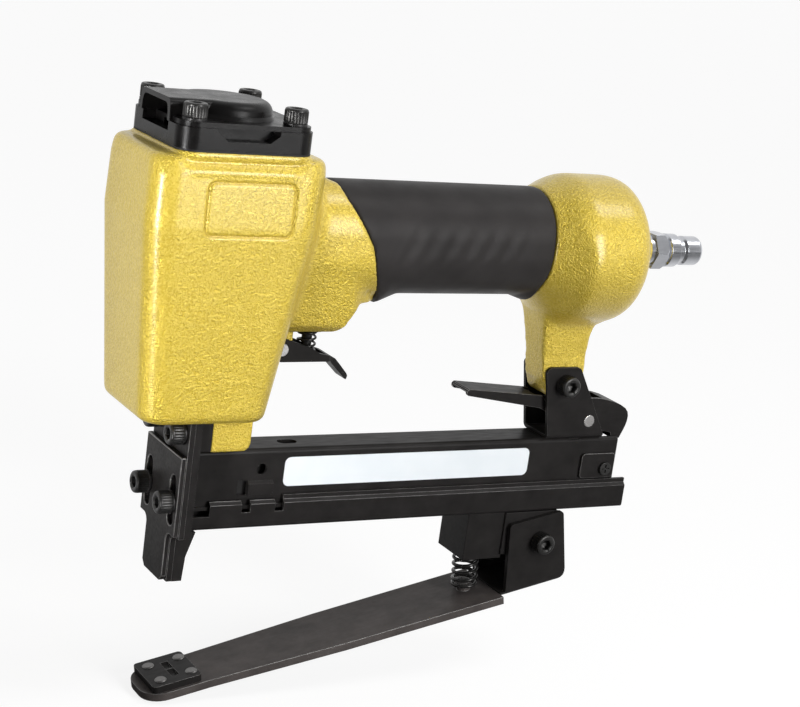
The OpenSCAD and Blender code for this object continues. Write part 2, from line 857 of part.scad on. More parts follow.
module grip_sleeve() {
    ridge_r = 5;
    ridge_pitch = 8.3;
    first = grip_front + 12;
    color("#2a2a2a") difference() {
        grip_solid();
        translate([0, 0, handle_z]) along_x(10, grip_rear + over) stadium(core_r + run, grip_rise);
        for (i = [0:ridge_count - 1], y = [-1, 1])
            translate([first + i * ridge_pitch, y * (grip_r + ridge_r - ridge_depth), handle_z - 2])
                rotate([0, 22, 0]) cylinder(r = ridge_r, h = 15, center = true);
    }
}

// Air plug

module air_plug() {
    hex_len = 6;
    x0 = plug_face + 2.8;
    x1 = x0 + hex_len;
    tip_r = 6;
    collar_r = 6.8;
    groove_r = 5.2;
    color("lightgray") translate([0, 0, bulb_z]) difference() {
        union() {
            rod_x(plug_thread_r, bulb_rear - 6, x0 + 2);
            intersection() {
                translate([x0, 0, 0]) rotate([0, 90, 0]) rotate([0, 0, 30])
                    cylinder(d = 14 / cos(30), h = hex_len, $fn = 6);
                translate([x0 - 2, 0, 0]) rotate([0, 90, 0]) cylinder(r1 = 12.4, r2 = 6.6, h = hex_len + 3);
            }
            translate([x1, 0, 0]) rotate([0, 90, 0]) rotate_extrude() polygon(concat(
                [[0, -2], [groove_r, -2], [groove_r, 0.8], [collar_r, 2], [collar_r, 6.4]],
                [[groove_r, 7.6], [groove_r, 9.6], [tip_r, 10.6]],
                arc(tip_r - 1.6, 16.7, 1.6, 0, 90, 5),
                [[0, 18.3]]
            ));
        }
        rod_x(3.7, bulb_rear - 20, x1 + 30);
    }
}

// Trigger and its valve

module trigger() {
    tip = trigger_x + trigger_len;
    floor_end = trigger_x + 0.7 * trigger_len;
    low = trigger_floor;
    outline = concat(
        arc(trigger_x, trigger_z, 4.6, 90, 270, 8),
        [[floor_end, low]],
        [[tip - 0.7, low - 7.6], [tip, low - 7.4], [tip + 0.6, low - 6.4]],
        [[tip - 3.3, low - 2.2], [tip - 6, low + 0.6], [tip - 8.6, low + 2]],
        [[floor_end - 5, low + 3.2], [trigger_x + 12, trigger_z + 0.6]]
    );
    inside_w = trigger_w - 2 * trigger_wall;
    blade_half = 4;
    plan = [
        [trigger_x - 10, trigger_w / 2], [floor_end - 1, trigger_w / 2], [floor_end + 2, blade_half],
        [tip - 0.6, blade_half], [tip + over, blade_half - 1.5]
    ];
    color("#222222") difference() {
        intersection() {
            side_extrude(trigger_w) polygon(outline);
            translate([0, 0, low - 10]) linear_extrude(40) polygon(concat(plan, flip(plan)));
        }
        side_extrude(inside_w) polygon([
            [trigger_x - 10, low - over], [trigger_x + 5, low - over], [trigger_x + 5, low + trigger_wall],
            [floor_end - 1.6, low + trigger_wall], [floor_end + 1, trigger_z + 10],
            [trigger_x - 10, trigger_z + 10]
        ]);
        rod_y(trigger_pin_r + run, -trigger_w, trigger_w, trigger_x, trigger_z);
    }
}

module trigger_pin() {
    color("silver") rod_y(trigger_pin_r, -trigger_w / 2 - fit, trigger_w / 2 + fit, trigger_x, trigger_z);
}

module trigger_spring() {
    wire = 0.9;
    low = trigger_floor + trigger_wall + wire / 2 + gap;
    high = guide_bottom - wire / 2 - fit;
    color("darkgray") translate([valve_x, 0, low]) spring("trigger spring", 3.3, high - low, 4, wire, wire);
}

module valve_stem() {
    color("goldenrod") translate([valve_x, 0, 0]) {
        rod_z(stem_r, stem_foot, guide_top + 4);
        rod_z(stem_r + 1.4, guide_top + 2.6, guide_top + 5);
    }
}

module valve_guide() {
    color("darkkhaki") difference() {
        union() {
            rod_z(guide_r, guide_bottom, guide_top, valve_x);
            rod_z(guide_flange_r, guide_bottom, housing_z + 1.1, valve_x);
        }
        rod_z(stem_r + run, guide_bottom - over, guide_top + over, valve_x);
        translate([valve_x, 0, seal_z - seal_r - fit]) difference() {
            cylinder(r = guide_r + over, h = 2 * seal_r + 2 * fit);
            cylinder(r = guide_r - 2 * seal_r - run, h = 2 * seal_r + 2 * fit);
        }
    }
}

module valve_seal() {
    color("black") translate([valve_x, 0, seal_z])
        rotate_extrude() translate([guide_r - seal_r, 0]) circle(seal_r, $fn = 24);
}

// Nose

// Front view of the nose: a wide part and the tongue, with a fillet where they meet
module nose_outline(top, step_z, w, tongue) {
    fillet = 3;
    translate([-w / 2, step_z]) square([w, top - step_z]);
    translate([-tongue / 2, 0]) square([tongue, step_z + over]);
    for (y = [-1, 1])
        difference() {
            translate([y * (tongue / 2 + fillet / 2), step_z - fillet / 2]) square(fillet, center = true);
            translate([y * (tongue / 2 + fillet), step_z - fillet]) circle(fillet);
        }
}

module plate_screw_holes() {
    for (y = [-1, 1])
        rod_x(hole_r, -20, 20, y * slot_pitch / 2, slot_screw_z);
}

module nose_screw_holes() {
    for (y = [-1, 1])
        rod_x(hole_r, -20, saddle_rear + over, y * nose_screw_pitch / 2, nose_screw_z);
}

module nose_block() {
    heel = [
        [block_front, 0], [3.2, 0], [3.8, 0.5 * nose_step_z], [6.8, nose_step_z], [block_front, nose_step_z]
    ];
    color("#2d2d2d") difference() {
        union() {
            along_x(block_front, block_rear) nose_outline(head_bottom, nose_step_z, nose_w, tongue_w);
            box([block_front, -saddle_w / 2, saddle_bottom], [saddle_rear, saddle_w / 2, head_bottom]);
            side_extrude(tongue_w) polygon(heel);
        }
        box([block_front - over, -blade_w / 2 - fit, -over],
            [blade_t / 2 + fit, blade_w / 2 + fit, head_bottom + over]);
        box([0, -mag_in, slide_shoulder], [block_rear + over, mag_in, mag_top - mag_wall]);
        plate_screw_holes();
        nose_screw_holes();
    }
}

module nose_cover() {
    color("#262626") difference() {
        along_x(cover_front, block_front) nose_outline(head_bottom, nose_step_z, nose_w, tongue_w);
        plate_screw_holes();
        nose_screw_holes();
    }
}

module front_plate() {
    tip_cut = 1.6;
    color("#3a3735") difference() {
        along_x(plate_front, plate_rear) nose_outline(plate_top_z, nose_step_z + 1, nose_w, tongue_w);
        for (y = [-1, 1]) {
            adjusting_slot(y * slot_pitch / 2);
            translate([0, y * tongue_w / 2, 0]) rotate([45, 0, 0])
                box([plate_front - over, -tip_cut, -tip_cut], [plate_rear + over, tip_cut, tip_cut]);
        }
    }
}

// One adjusting slot with round ends, centred a little above its screw
module adjusting_slot(y) {
    half = slot_len / 2 - slot_w / 2;
    z = slot_screw_z + 0.6;
    for (s = [-1, 1])
        rod_x(slot_w / 2, plate_front - over, plate_rear + over, y, z + s * half);
    box([plate_front - over, y - slot_w / 2, z - half], [plate_rear + over, y + slot_w / 2, z + half]);
}

module plate_washers() {
    color("#1c1c1c") translate([plate_seat + plate_washer_t, 0, 0])
        nose_screw_places(slot_pitch, slot_screw_z) washer(plate_washer_t);
}

module plate_screws() {
    color("#333333") translate([plate_seat, 0, 0])
        nose_screw_places(slot_pitch, slot_screw_z) socket_screw(block_rear - plate_seat);
}

module nose_washers() {
    color("#1c1c1c") translate([cover_front, 0, 0])
        nose_screw_places(nose_screw_pitch, nose_screw_z) washer(nose_washer_t);
}

module nose_screws() {
    color("#333333") translate([nose_seat, 0, 0])
        nose_screw_places(nose_screw_pitch, nose_screw_z)
            socket_screw(saddle_rear + foot_screw_depth - 2 - nose_seat);
}

// Fixed magazine

// Section of the fixed magazine: an upturned channel with feet that hold the slide
module mag_section() {
    bend = 1.8;
    half = mag_w / 2;
    low = mag_foot_top - mag_wall;
    difference() {
        union() {
            translate([-half, low]) square([mag_w, mag_top - bend - low]);
            translate([-half + bend, low]) square([mag_w - 2 * bend, mag_top - low]);
            for (y = [-1, 1]) translate([y * (half - bend), mag_top - bend]) circle(bend);
        }
        translate([-mag_in, low - over]) square([2 * mag_in, mag_top - mag_wall - low + over]);
    }
    for (y = [-1, 1])
        translate([y * (mag_in + foot_out) / 2, mag_foot_top - mag_wall / 2])
            square([foot_out - mag_in, mag_wall], center = true);
}

module fixed_magazine() {
    tab = [
        [mag_w / 2 - 0.4, tab_z + gap], [mag_w / 2 + tab_out, tab_z + gap],
        [mag_w / 2 + tab_out, tab_z + tab_h - 1.2], [mag_w / 2 - 0.4, tab_z + tab_h]
    ];
    color("#34302e") {
        difference() {
            along_x(mag_front, mag_rear) mag_section();
            for (x = [-1, 1]) rod_z(2.2, mag_top - 3, mag_top + over, label_x + 3.7 + 1.8 * x);
            box([label_x + 1.9, -2.2, mag_top - 3], [label_x + 5.5, 2.2, mag_top + over]);
            rod_y(2.1, -mag_w, mag_w, side_hole_x, side_hole_z);
            box([tab_x0 - 4, -mag_w, lip_top], [tab_x0, mag_w, tab_z + tab_h]);
            box([mag_rear - 7.5, -mag_in, mag_top - 3], [mag_rear + over, mag_in, mag_top + over]);
            box([bracket_x + 7.2, -mag_w, mag_top - 1], [bracket_x + 12.2, -mag_w / 2 + 0.8, mag_top + over]);
        }
        for (s = [0, 1]) mirror([0, s, 0]) along_x(tab_x0, tab_x0 + tab_len) polygon(tab);
    }
}

module label() {
    color("white") translate([label_x, -mag_w / 2 - label_t / 2, label_z + label_h / 2])
        side_extrude(label_t) rounded_rect(0, label_len, label_h, 2.4);
}

module stop_plate() {
    low = lip_top + 0.6;
    color("#201e1d") difference() {
        translate([mag_rear - 17.4, -mag_w / 2 - 0.65, low + 5.2])
            side_extrude(1.3) rounded_rect(0, 16.4, 10.4, 1.6);
        rod_y(1.6, -20, 0, mag_rear - 5.8, low + 4);
    }
}

module stop_screw() {
    x = mag_rear - 5.8;
    z = lip_top + 4.6;
    seat = -mag_w / 2 - 1.3;
    color("#141414") difference() {
        union() {
            rod_y(2.7, seat - 1.3, seat, x, z);
            rod_y(1.5, seat - 0.2, -mag_w / 2, x, z);
        }
        box([x - 1.7, seat - 2, z - 0.3], [x + 1.7, seat - 0.6, z + 0.3]);
        box([x - 0.3, seat - 2, z - 1.7], [x + 0.3, seat - 0.6, z + 1.7]);
    }
}

// Rear bracket and latch

module rear_bracket() {
    top = bracket_z + 7;
    outline = concat(
        arc(bracket_x - 6.9, top - 2.6, 2.6, 172, 90, 4),
        arc(bracket_x + 4.8, top - 2.6, 2.6, 90, 30, 4),
        [[latch_x + 8, mag_top + 1.6], [latch_x + 8, mag_top], [bracket_x - 4.7, mag_top]]
    );
    bend = 2;
    color("#2b2827") difference() {
        intersection() {
            along_x(bracket_x - 20, bracket_x + 30) difference() {
                union() {
                    translate([-bracket_out + bend, mag_top]) square([2 * (bracket_out - bend), 60]);
                    translate([-bracket_out, mag_top + bend]) square([2 * bracket_out, 60]);
                    for (y = [-1, 1]) translate([y * (bracket_out - bend), mag_top + bend]) circle(bend);
                }
                translate([-bracket_in, mag_top + bracket_wall]) square([2 * bracket_in, 80]);
            }
            side_extrude(4 * bracket_out) polygon(outline);
        }
        rod_y(hole_r, -20, 20, bracket_x, bracket_z);
        rod_y(latch_pin_r + run, -20, 20, latch_x, latch_z);
    }
}

module bracket_bolt() {
    color("#303030") translate([bracket_x, -bracket_out, bracket_z]) rotate([90, 0, 0])
        socket_screw(2 * bracket_out + 0.8 * screw_d);
}

module bracket_nut() {
    color("#303030") translate([bracket_x, bracket_out, bracket_z]) rotate([-90, 0, 0]) nut();
}

module latch_lever() {
    x = latch_x;
    z = latch_z;
    tip = x - latch_reach;
    slope = 0.094;
    bend_x = x - 23;
    bend_z = z + 10.5;
    tip_z = bend_z + (bend_x - tip) * slope;
    outline = concat(
        arc(tip + 1.4, tip_z - 1.6, 1.4, 250, 100, 5),
        [[bend_x, bend_z], [x - 20, z + 6.8], [x - 5, z + 6.8], [x + 1, z + 9], [x + 6, z + 8.7]],
        [[x + 10, z + 7.9], [x + 13.8, z + 6.9], [x + 17, z + 5.6], [x + 19.4, z + 4.2], [x + 20.8, z + 2.6]],
        [[x + 21.3, z + 0.8], [x + 21.2, z - 1.4], [x + 20.6, z - 3.6], [x + 19.6, z - 6]],
        [[x + 18.4, hook_z], [x + 14.6, hook_z], [x + 13.6, z - 6]],
        [[x + 9, z - 5.2], [x - 1, z - 5], [x - 7, z - 2.6], [bend_x, z + 5.2]]
    );
    inside = [
        [tip - over, tip_z - 1.5], [bend_x - 3, bend_z - 1.2], [bend_x - 3, z + 30], [x + 8, z + 30],
        [x + 8, z + 6.6], [x + 16, z + 4.2], [x + 19, z + 2], [x + 19.8, z - 1.4], [x + 18.6, z - 4.8],
        [x + 18.2, z - 5.4], [x + 10, z - 5.4], [x + 8, z - 30], [tip - over, z - 30]
    ];
    color("#2a2827") difference() {
        side_extrude(2 * latch_half) polygon(outline);
        side_extrude(2 * (latch_half - latch_wall)) polygon(inside);
        rod_y(latch_pin_r + run, -20, 20, x, z);
    }
}

module latch_pin() {
    color("lightgray") rod_y(latch_pin_r, -bracket_out - fit, bracket_out + fit, latch_x, latch_z);
}

module latch_spring() {
    wire = 0.8;
    turns = 3;
    half = 2;
    color("gray") translate([latch_x, half, latch_z]) rotate([90, 0, 0])
        spring("latch spring", latch_pin_r + 0.9, 2 * half, turns, wire, 3.4);
}

// Sliding magazine

// Section of the slide: a channel with a sloped shoulder and an upright lip on each side
module slide_section() {
    out = slide_w / 2;
    in = out - slide_wall;
    lip_out = lip_in + slide_wall;
    bend = 1.2;
    half_outer = concat(
        [[0, slide_bottom]], arc(out - bend, slide_bottom + bend, bend, -90, 0, 4),
        [[out, slide_shoulder - 0.2], [lip_out, slide_shoulder + 0.9], [lip_out, lip_top], [lip_in, lip_top]]
    );
    half_inner = [
        [lip_in, slide_shoulder + 0.4], [in, slide_shoulder - 0.7], [in, slide_floor], [0, slide_floor]
    ];
    half = concat(half_outer, half_inner);
    count = len(half);
    polygon(concat(
        [for (i = [1:count - 2]) half[i]],
        [for (i = [count - 2:-1:1]) [-half[i][0], half[i][1]]]
    ));
}

module sliding_magazine() {
    notch = 3.6;
    color("#2e2b2a") difference() {
        along_x(slide_front, slide_rear) slide_section();
        box([slide_front - over, -slide_w, lip_low], [label_x, slide_w, lip_top + over]);
        box([slide_front - over, -slide_w, slide_shoulder - 4.4], [slide_front + 8, slide_w, lip_top + over]);
        for (x = [tab_x0 - 2.4, tab_x0 + tab_len + 1])
            box([x, -slide_w, slide_shoulder - 3.4], [x + notch, slide_w, lip_top + over]);
    }
}

module staple_rail() {
    color("darkgray") difference() {
        box([rail_front, -rail_w / 2, slide_floor], [rail_rear, rail_w / 2, rail_top]);
        box([rail_front + 1.6, -rail_w / 2 + rail_wall, slide_floor - over],
            [rail_rear + over, rail_w / 2 - rail_wall, rail_top - rail_wall]);
        box([pusher_front - 0.6, -feed_slot / 2, rail_top - 3],
            [rail_rear - 6, feed_slot / 2, rail_top + over]);
        rod_x(rod_r + run, rail_front - over, rail_front + 3, 0, rod_z);
    }
}

module slide_end() {
    half = foot_out;
    color("#242221") difference() {
        union() {
            box([rail_rear, -half, slide_floor], [rail_rear + end_t, half, mag_foot_top - mag_wall - gap]);
            box([rail_rear, -rail_w / 2, slide_floor], [rail_rear + end_t, rail_w / 2, catch_top]);
        }
        rod_x(rod_r + run, rail_rear - over, rail_rear + end_t + over, 0, rod_z);
    }
}

module pusher_rod() {
    color("silver") rod_x(rod_r, rail_front, rail_rear + end_t, 0, rod_z);
}

module pusher() {
    x0 = pusher_front;
    x1 = pusher_front + pusher_len;
    carriage = rail_w / 2 - rail_wall - gap;
    color("silver") difference() {
        union() {
            difference() {
                box([x0, -mag_in + gap, rod_z], [x1, mag_in - gap, mag_top - mag_wall - gap]);
                box([x0 - over, -rail_w / 2 - gap, rod_z - over],
                    [x1 + over, rail_w / 2 + gap, rail_top + gap]);
            }
            box([x0, -feed_slot / 2 + gap, rod_z], [x1, feed_slot / 2 - gap, rail_top + 1]);
            box([x0, -carriage, rod_z - 4], [x1, carriage, rod_z + 4]);
        }
        rod_x(rod_r + run, x0 - over, x1 + over, 0, rod_z);
    }
}

module pusher_spring() {
    wire = 0.6;
    low = pusher_front + pusher_len + wire / 2 + fit;
    high = rail_rear - wire / 2 - fit;
    color("gray") translate([low, 0, rod_z]) rotate([0, 90, 0])
        spring("pusher spring", rod_r + 0.9, high - low, 24, wire, 0);
}

// Clinch arm

// Puts what is drawn in the arm's own frame at its open angle
module on_arm() {
    translate([pivot_x, 0, pivot_z]) rotate([0, -arm_angle, 0]) children();
}

module hinge_block() {
    lug_w = 2 * (fork_in - gap);
    color("#292726") difference() {
        union() {
            box([block_front_x, -block_w / 2, block_bottom], [block_back_x, block_w / 2, slide_bottom]);
            side_extrude(lug_w) {
                translate([pivot_x, pivot_z]) circle(lug_r);
                polygon([
                    [block_back_x - over, slide_bottom], [block_back_x - over, block_bottom + 2],
                    [pivot_x - 2, pivot_z - lug_r + 0.3], [pivot_x, pivot_z],
                    [pivot_x + lug_r, pivot_z], [pivot_x + lug_r, slide_bottom]
                ]);
            }
        }
        rod_y(hole_r, -30, 30, pivot_x, pivot_z);
    }
}

module pivot_bolt() {
    color("#303030") translate([pivot_x, -fork_out - gap, pivot_z]) rotate([90, 0, 0])
        socket_screw(2 * fork_out + 2 * gap + 0.8 * screw_d);
}

module pivot_nut() {
    color("#303030") translate([pivot_x, fork_out + gap, pivot_z]) rotate([-90, 0, 0]) nut();
}

// Fork: a bent channel whose cheeks flank the hinge block
module arm_fork() {
    bend = 2.6;
    heel = 5;
    cheek = concat(
        [[arm_rear + fork_wall, fork_bottom]],
        arc(fork_rear - heel, fork_bottom + heel, heel, -90, 0, 5),
        arc(fork_rear - 1.5, fork_top - 1.5, 1.5, 0, 90, 3),
        arc(arm_rear + 7, fork_top - 1.5, 1.5, 90, 170, 3)
    );
    web_rear = fork_rear - heel;
    web = [[arm_rear, fork_bottom], [web_rear, fork_bottom], [web_rear, fork_bottom + fork_wall],
        [arm_rear, fork_bottom + fork_wall]];
    color("#242221") on_arm() difference() {
        intersection() {
            along_x(arm_rear - over, fork_rear + over) difference() {
                union() {
                    translate([-fork_out + bend, fork_bottom]) square([2 * (fork_out - bend), 60]);
                    translate([-fork_out, fork_bottom + bend]) square([2 * fork_out, 60]);
                    for (y = [-1, 1]) translate([y * (fork_out - bend), fork_bottom + bend]) circle(bend);
                }
                translate([-fork_in, fork_bottom + fork_wall]) square([2 * fork_in, 80]);
            }
            side_extrude(4 * fork_out) {
                polygon(cheek);
                polygon(web);
            }
        }
        rod_y(screw_r + run, -30, 30);
    }
}

// Arm: a flat bar that widens from its round tip to the fork
module clinch_arm() {
    tip = -arm_length;
    half_tip = arm_w_tip / 2;
    half_rear = arm_w_rear / 2;
    outline = concat(
        arc(tip + arm_end_r, half_tip - arm_end_r, arm_end_r, 90, 180, 8),
        arc(tip + arm_end_r, -half_tip + arm_end_r, arm_end_r, 180, 270, 8),
        [[tip + anvil_len + 8, -half_tip], [taper_end, -half_rear + 0.8], [arm_rear, -half_rear]],
        [[arm_rear, half_rear], [taper_end, half_rear - 0.8], [tip + anvil_len + 8, half_tip]]
    );
    seat_x = (spring_x - pivot_x) / cos(arm_angle) - arm_drop * tan(arm_angle);
    color("#3c3936") on_arm() difference() {
        union() {
            translate([0, 0, -arm_drop - arm_t]) linear_extrude(arm_t) polygon(outline);
            translate([seat_x, 0, -arm_drop - over])
                cylinder(r = arm_spring_d / 2 - 2 * arm_spring_wire, h = 3.4 + over);
        }
        anvil_rivet_places() translate([0, 0, -arm_drop - arm_t - over])
            cylinder(r = rivet_r + run, h = arm_t + 2 * over);
    }
}

module anvil_rivet_places() {
    for (x = [-1, 1], y = [-1, 1])
        translate([anvil_mid + x * rivet_pitch / 2, y * rivet_pitch / 2, 0]) children();
}

// Anvil plate with two curved pockets that turn the staple's legs inwards
module anvil_plate() {
    pocket_r = 4;
    pocket_depth = 1.1;
    color("#45413e") on_arm() difference() {
        translate([0, 0, -arm_drop])
            linear_extrude(anvil_t)
                rounded_rect(anvil_mid - anvil_len / 2 - anvil_lead, anvil_mid + anvil_len / 2, anvil_w, 1.6);
        anvil_rivet_places() translate([0, 0, -arm_drop - over])
            cylinder(r = rivet_r + run, h = anvil_t + 2 * over);
        for (y = [-1, 1])
            translate([anvil_mid, y * pocket_span / 4, -arm_drop + anvil_t - pocket_depth + pocket_r])
                rotate([0, 90, 0]) cylinder(r = pocket_r, h = 3, center = true);
    }
}

module anvil_rivets() {
    head_t = 0.5;
    color("lightgray") on_arm() anvil_rivet_places() translate([0, 0, -arm_drop - arm_t]) {
        cylinder(r = rivet_r, h = arm_t + anvil_t + head_t / 2);
        translate([0, 0, arm_t + anvil_t]) cylinder(r1 = rivet_r + 0.5, r2 = rivet_r, h = head_t);
    }
}

// Arm spring, standing half way between the block's underside and the arm's upper face
module arm_spring() {
    wire = arm_spring_wire;
    lean = arm_angle / 2;
    top_z = block_bottom - wire / 2 - 0.7;
    low_z = pivot_z - arm_drop / cos(arm_angle) + (spring_x - pivot_x) * tan(arm_angle) + wire / 2 + 0.7;
    color("dimgray") translate([spring_x, 0, low_z]) rotate([0, -lean, 0])
        spring("arm spring", arm_spring_d / 2 - wire / 2, top_z - low_z, 4, wire, wire);
}

body_casting();
cylinder_cap();
cap_gasket();
exhaust_cover();
cap_screws();
cap_washers();
cylinder_sleeve();
bumper();
head_valve();
head_valve_spring();
piston();
piston_ring();
driver_blade();
grip_sleeve();
air_plug();
trigger();
trigger_pin();
trigger_spring();
valve_stem();
valve_guide();
valve_seal();
nose_block();
nose_cover();
front_plate();
plate_screws();
plate_washers();
nose_screws();
nose_washers();
fixed_magazine();
label();
stop_plate();
stop_screw();
rear_bracket();
bracket_bolt();
bracket_nut();
latch_lever();
latch_pin();
latch_spring();
sliding_magazine();
staple_rail();
slide_end();
pusher();
pusher_rod();
pusher_spring();
hinge_block();
pivot_bolt();
pivot_nut();
arm_fork();
clinch_arm();
arm_spring();
anvil_plate();
anvil_rivets();
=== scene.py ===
"""Looks of an air driven clinching stapler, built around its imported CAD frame."""

import json
import math

import bmesh
import bpy
import numpy as np
from mathutils import Matrix, Vector

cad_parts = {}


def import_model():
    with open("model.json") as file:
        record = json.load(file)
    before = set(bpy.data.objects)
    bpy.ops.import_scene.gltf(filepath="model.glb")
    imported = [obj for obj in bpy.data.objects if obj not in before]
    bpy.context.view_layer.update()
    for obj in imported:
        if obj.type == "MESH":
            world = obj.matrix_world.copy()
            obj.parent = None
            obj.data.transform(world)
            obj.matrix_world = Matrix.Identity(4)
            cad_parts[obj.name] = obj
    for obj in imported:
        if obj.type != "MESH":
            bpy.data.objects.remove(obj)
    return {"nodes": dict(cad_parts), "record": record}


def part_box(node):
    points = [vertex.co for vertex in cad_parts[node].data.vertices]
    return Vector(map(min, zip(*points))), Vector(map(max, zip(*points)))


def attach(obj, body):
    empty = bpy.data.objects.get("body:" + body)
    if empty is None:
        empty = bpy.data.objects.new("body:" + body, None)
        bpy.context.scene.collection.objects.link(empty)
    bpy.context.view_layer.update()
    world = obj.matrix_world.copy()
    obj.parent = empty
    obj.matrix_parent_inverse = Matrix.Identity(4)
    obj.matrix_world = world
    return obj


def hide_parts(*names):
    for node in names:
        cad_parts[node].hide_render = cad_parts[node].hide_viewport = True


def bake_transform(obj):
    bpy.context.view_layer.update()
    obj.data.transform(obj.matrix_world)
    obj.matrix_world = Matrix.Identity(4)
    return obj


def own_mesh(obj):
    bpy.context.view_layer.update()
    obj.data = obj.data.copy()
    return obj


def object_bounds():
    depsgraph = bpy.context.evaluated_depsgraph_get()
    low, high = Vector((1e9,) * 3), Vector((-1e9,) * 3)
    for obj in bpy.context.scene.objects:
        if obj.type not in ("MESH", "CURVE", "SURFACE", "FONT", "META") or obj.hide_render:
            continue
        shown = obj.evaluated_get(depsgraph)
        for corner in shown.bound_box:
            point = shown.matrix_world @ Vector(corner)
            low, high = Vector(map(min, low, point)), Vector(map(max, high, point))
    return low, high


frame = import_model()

MM = 0.001
cad_low, cad_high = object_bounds()
scene = bpy.context.scene
record = frame["record"]
body_of = {n: b for b, members in record["behaviour"]["bodies"].items() for n in members}
slot_of = {s["node"]: s["material_slot"] for s in record["subparts"]}

# Camera

IMAGE_W = 800
FOCAL_PX = 1949.75
CAMERA_MM = (-284.65, -619.63, 267.57)
CAMERA_AZIMUTH = 31.0526
CAMERA_DOWN = 14.2726
CAMERA_ROLL = 7.9024


def camera_turn():
    """Axes of a camera that looks along +Y, turned towards +X, tipped down and rolled."""
    turn = Matrix.Rotation(math.radians(-CAMERA_AZIMUTH), 3, "Z")
    turn = turn @ Matrix.Rotation(math.radians(90 - CAMERA_DOWN), 3, "X")
    return turn @ Matrix.Rotation(math.radians(CAMERA_ROLL), 3, "Z")


def add_camera():
    data = bpy.data.cameras.new("camera")
    data.sensor_width = 36
    data.lens = FOCAL_PX / IMAGE_W * data.sensor_width
    data.clip_start = 0.01
    data.clip_end = 50
    camera = bpy.data.objects.new("camera", data)
    camera.matrix_world = Matrix.Translation(Vector(CAMERA_MM) * MM) @ camera_turn().to_4x4()
    scene.collection.objects.link(camera)
    scene.camera = camera


add_camera()

# Materials


class Paint:
    """A node material with a Principled shader and short ways to add its texture."""

    def __init__(self, name, colour, roughness, metallic=0.0, specular=0.5):
        self.material = bpy.data.materials.new(name)
        self.material.use_nodes = True
        self.tree = self.material.node_tree
        self.shader = self.tree.nodes["Principled BSDF"]
        self.set("Base Color", (*colour, 1))
        self.set("Roughness", roughness)
        self.set("Metallic", metallic)
        self.set("Specular IOR Level", specular)
        self.place = self.add("ShaderNodeTexCoord").outputs["Object"]

    def set(self, socket, value):
        self.shader.inputs[socket].default_value = value

    def add(self, kind, **values):
        node = self.tree.nodes.new(kind)
        for key, value in values.items():
            if key in node.inputs:
                node.inputs[key].default_value = value
            else:
                setattr(node, key, value)
        return node

    def link(self, output, target):
        self.tree.links.new(output, target)

    def stretched(self, x, y, z):
        """Texture place stretched along the axes."""
        node = self.add("ShaderNodeMapping")
        node.inputs["Scale"].default_value = (x, y, z)
        self.link(self.place, node.inputs["Vector"])
        return node.outputs["Vector"]

    def noise(self, size_mm, detail=2.0, roughness=0.5, distortion=0.0, place=None):
        node = self.add("ShaderNodeTexNoise", Scale=1 / (size_mm * MM), Detail=detail, Roughness=roughness,
                        Distortion=distortion)
        self.link(place or self.place, node.inputs["Vector"])
        return node.outputs["Fac"]

    def math(self, operation, a, b):
        node = self.add("ShaderNodeMath", operation=operation)
        for target, value in zip(node.inputs, (a, b)):
            if isinstance(value, (int, float)):
                target.default_value = value
            else:
                self.link(value, target)
        return node.outputs[0]

    def ramp(self, factor, low, high, a=0.0, b=1.0):
        node = self.add("ShaderNodeMapRange")
        self.link(factor, node.inputs["Value"])
        for socket, value in zip(("From Min", "From Max", "To Min", "To Max"), (low, high, a, b)):
            node.inputs[socket].default_value = value
        return node.outputs["Result"]

    def colour_by(self, factor, first, second):
        node = self.add("ShaderNodeMix", data_type="RGBA")
        self.link(factor, node.inputs["Factor"])
        colour_in = [s for s in node.inputs if s.type == "RGBA"]
        colour_in[0].default_value = (*first, 1)
        colour_in[1].default_value = (*second, 1)
        out = [s for s in node.outputs if s.type == "RGBA"][0]
        self.link(out, self.shader.inputs["Base Color"])

    def roughness_by(self, factor):
        self.link(factor, self.shader.inputs["Roughness"])

    def bump(self, height, distance_mm, strength=1.0):
        node = self.add("ShaderNodeBump", Strength=strength, Distance=distance_mm * MM)
        self.link(height, node.inputs["Height"])
        old = self.shader.inputs["Normal"].links
        if old:
            self.link(old[0].from_socket, node.inputs["Normal"])
        self.link(node.outputs["Normal"], self.shader.inputs["Normal"])


def shade(colour, share):
    return [min(1, v * share) for v in colour]


def yellow_enamel():
    """Hammertone enamel: metallic paint in rounded grains under a clear coat."""
    p = Paint("yellow_enamel", (0.6, 0.43, 0.05), 0.44, metallic=0.5)
    p.set("Coat Weight", 0.7)
    p.set("Coat Roughness", 0.24)
    grain = p.noise(0.85, detail=1.0, distortion=0.7)
    fine = p.noise(0.4, detail=1.0, distortion=0.3)
    height = p.math("ADD", p.math("MULTIPLY", grain, 0.8), p.math("MULTIPLY", fine, 0.2))
    p.colour_by(p.ramp(height, 0.36, 0.64), (0.595, 0.424, 0.03), (0.735, 0.563, 0.085))
    p.roughness_by(p.ramp(fine, 0.3, 0.7, 0.38, 0.5))
    p.bump(height, 0.9, 0.85)
    return p.material


def black_paint(name, colour, grain_mm):
    p = Paint(name, colour, 0.3, specular=0.14)
    p.colour_by(p.ramp(p.noise(9, 3), 0.3, 0.7), shade(colour, 0.8), shade(colour, 1.2))
    p.roughness_by(p.ramp(p.noise(4.5, 3), 0.3, 0.7, 0.25, 0.36))
    p.bump(p.noise(grain_mm, 2), 0.1, 0.4)
    return p.material


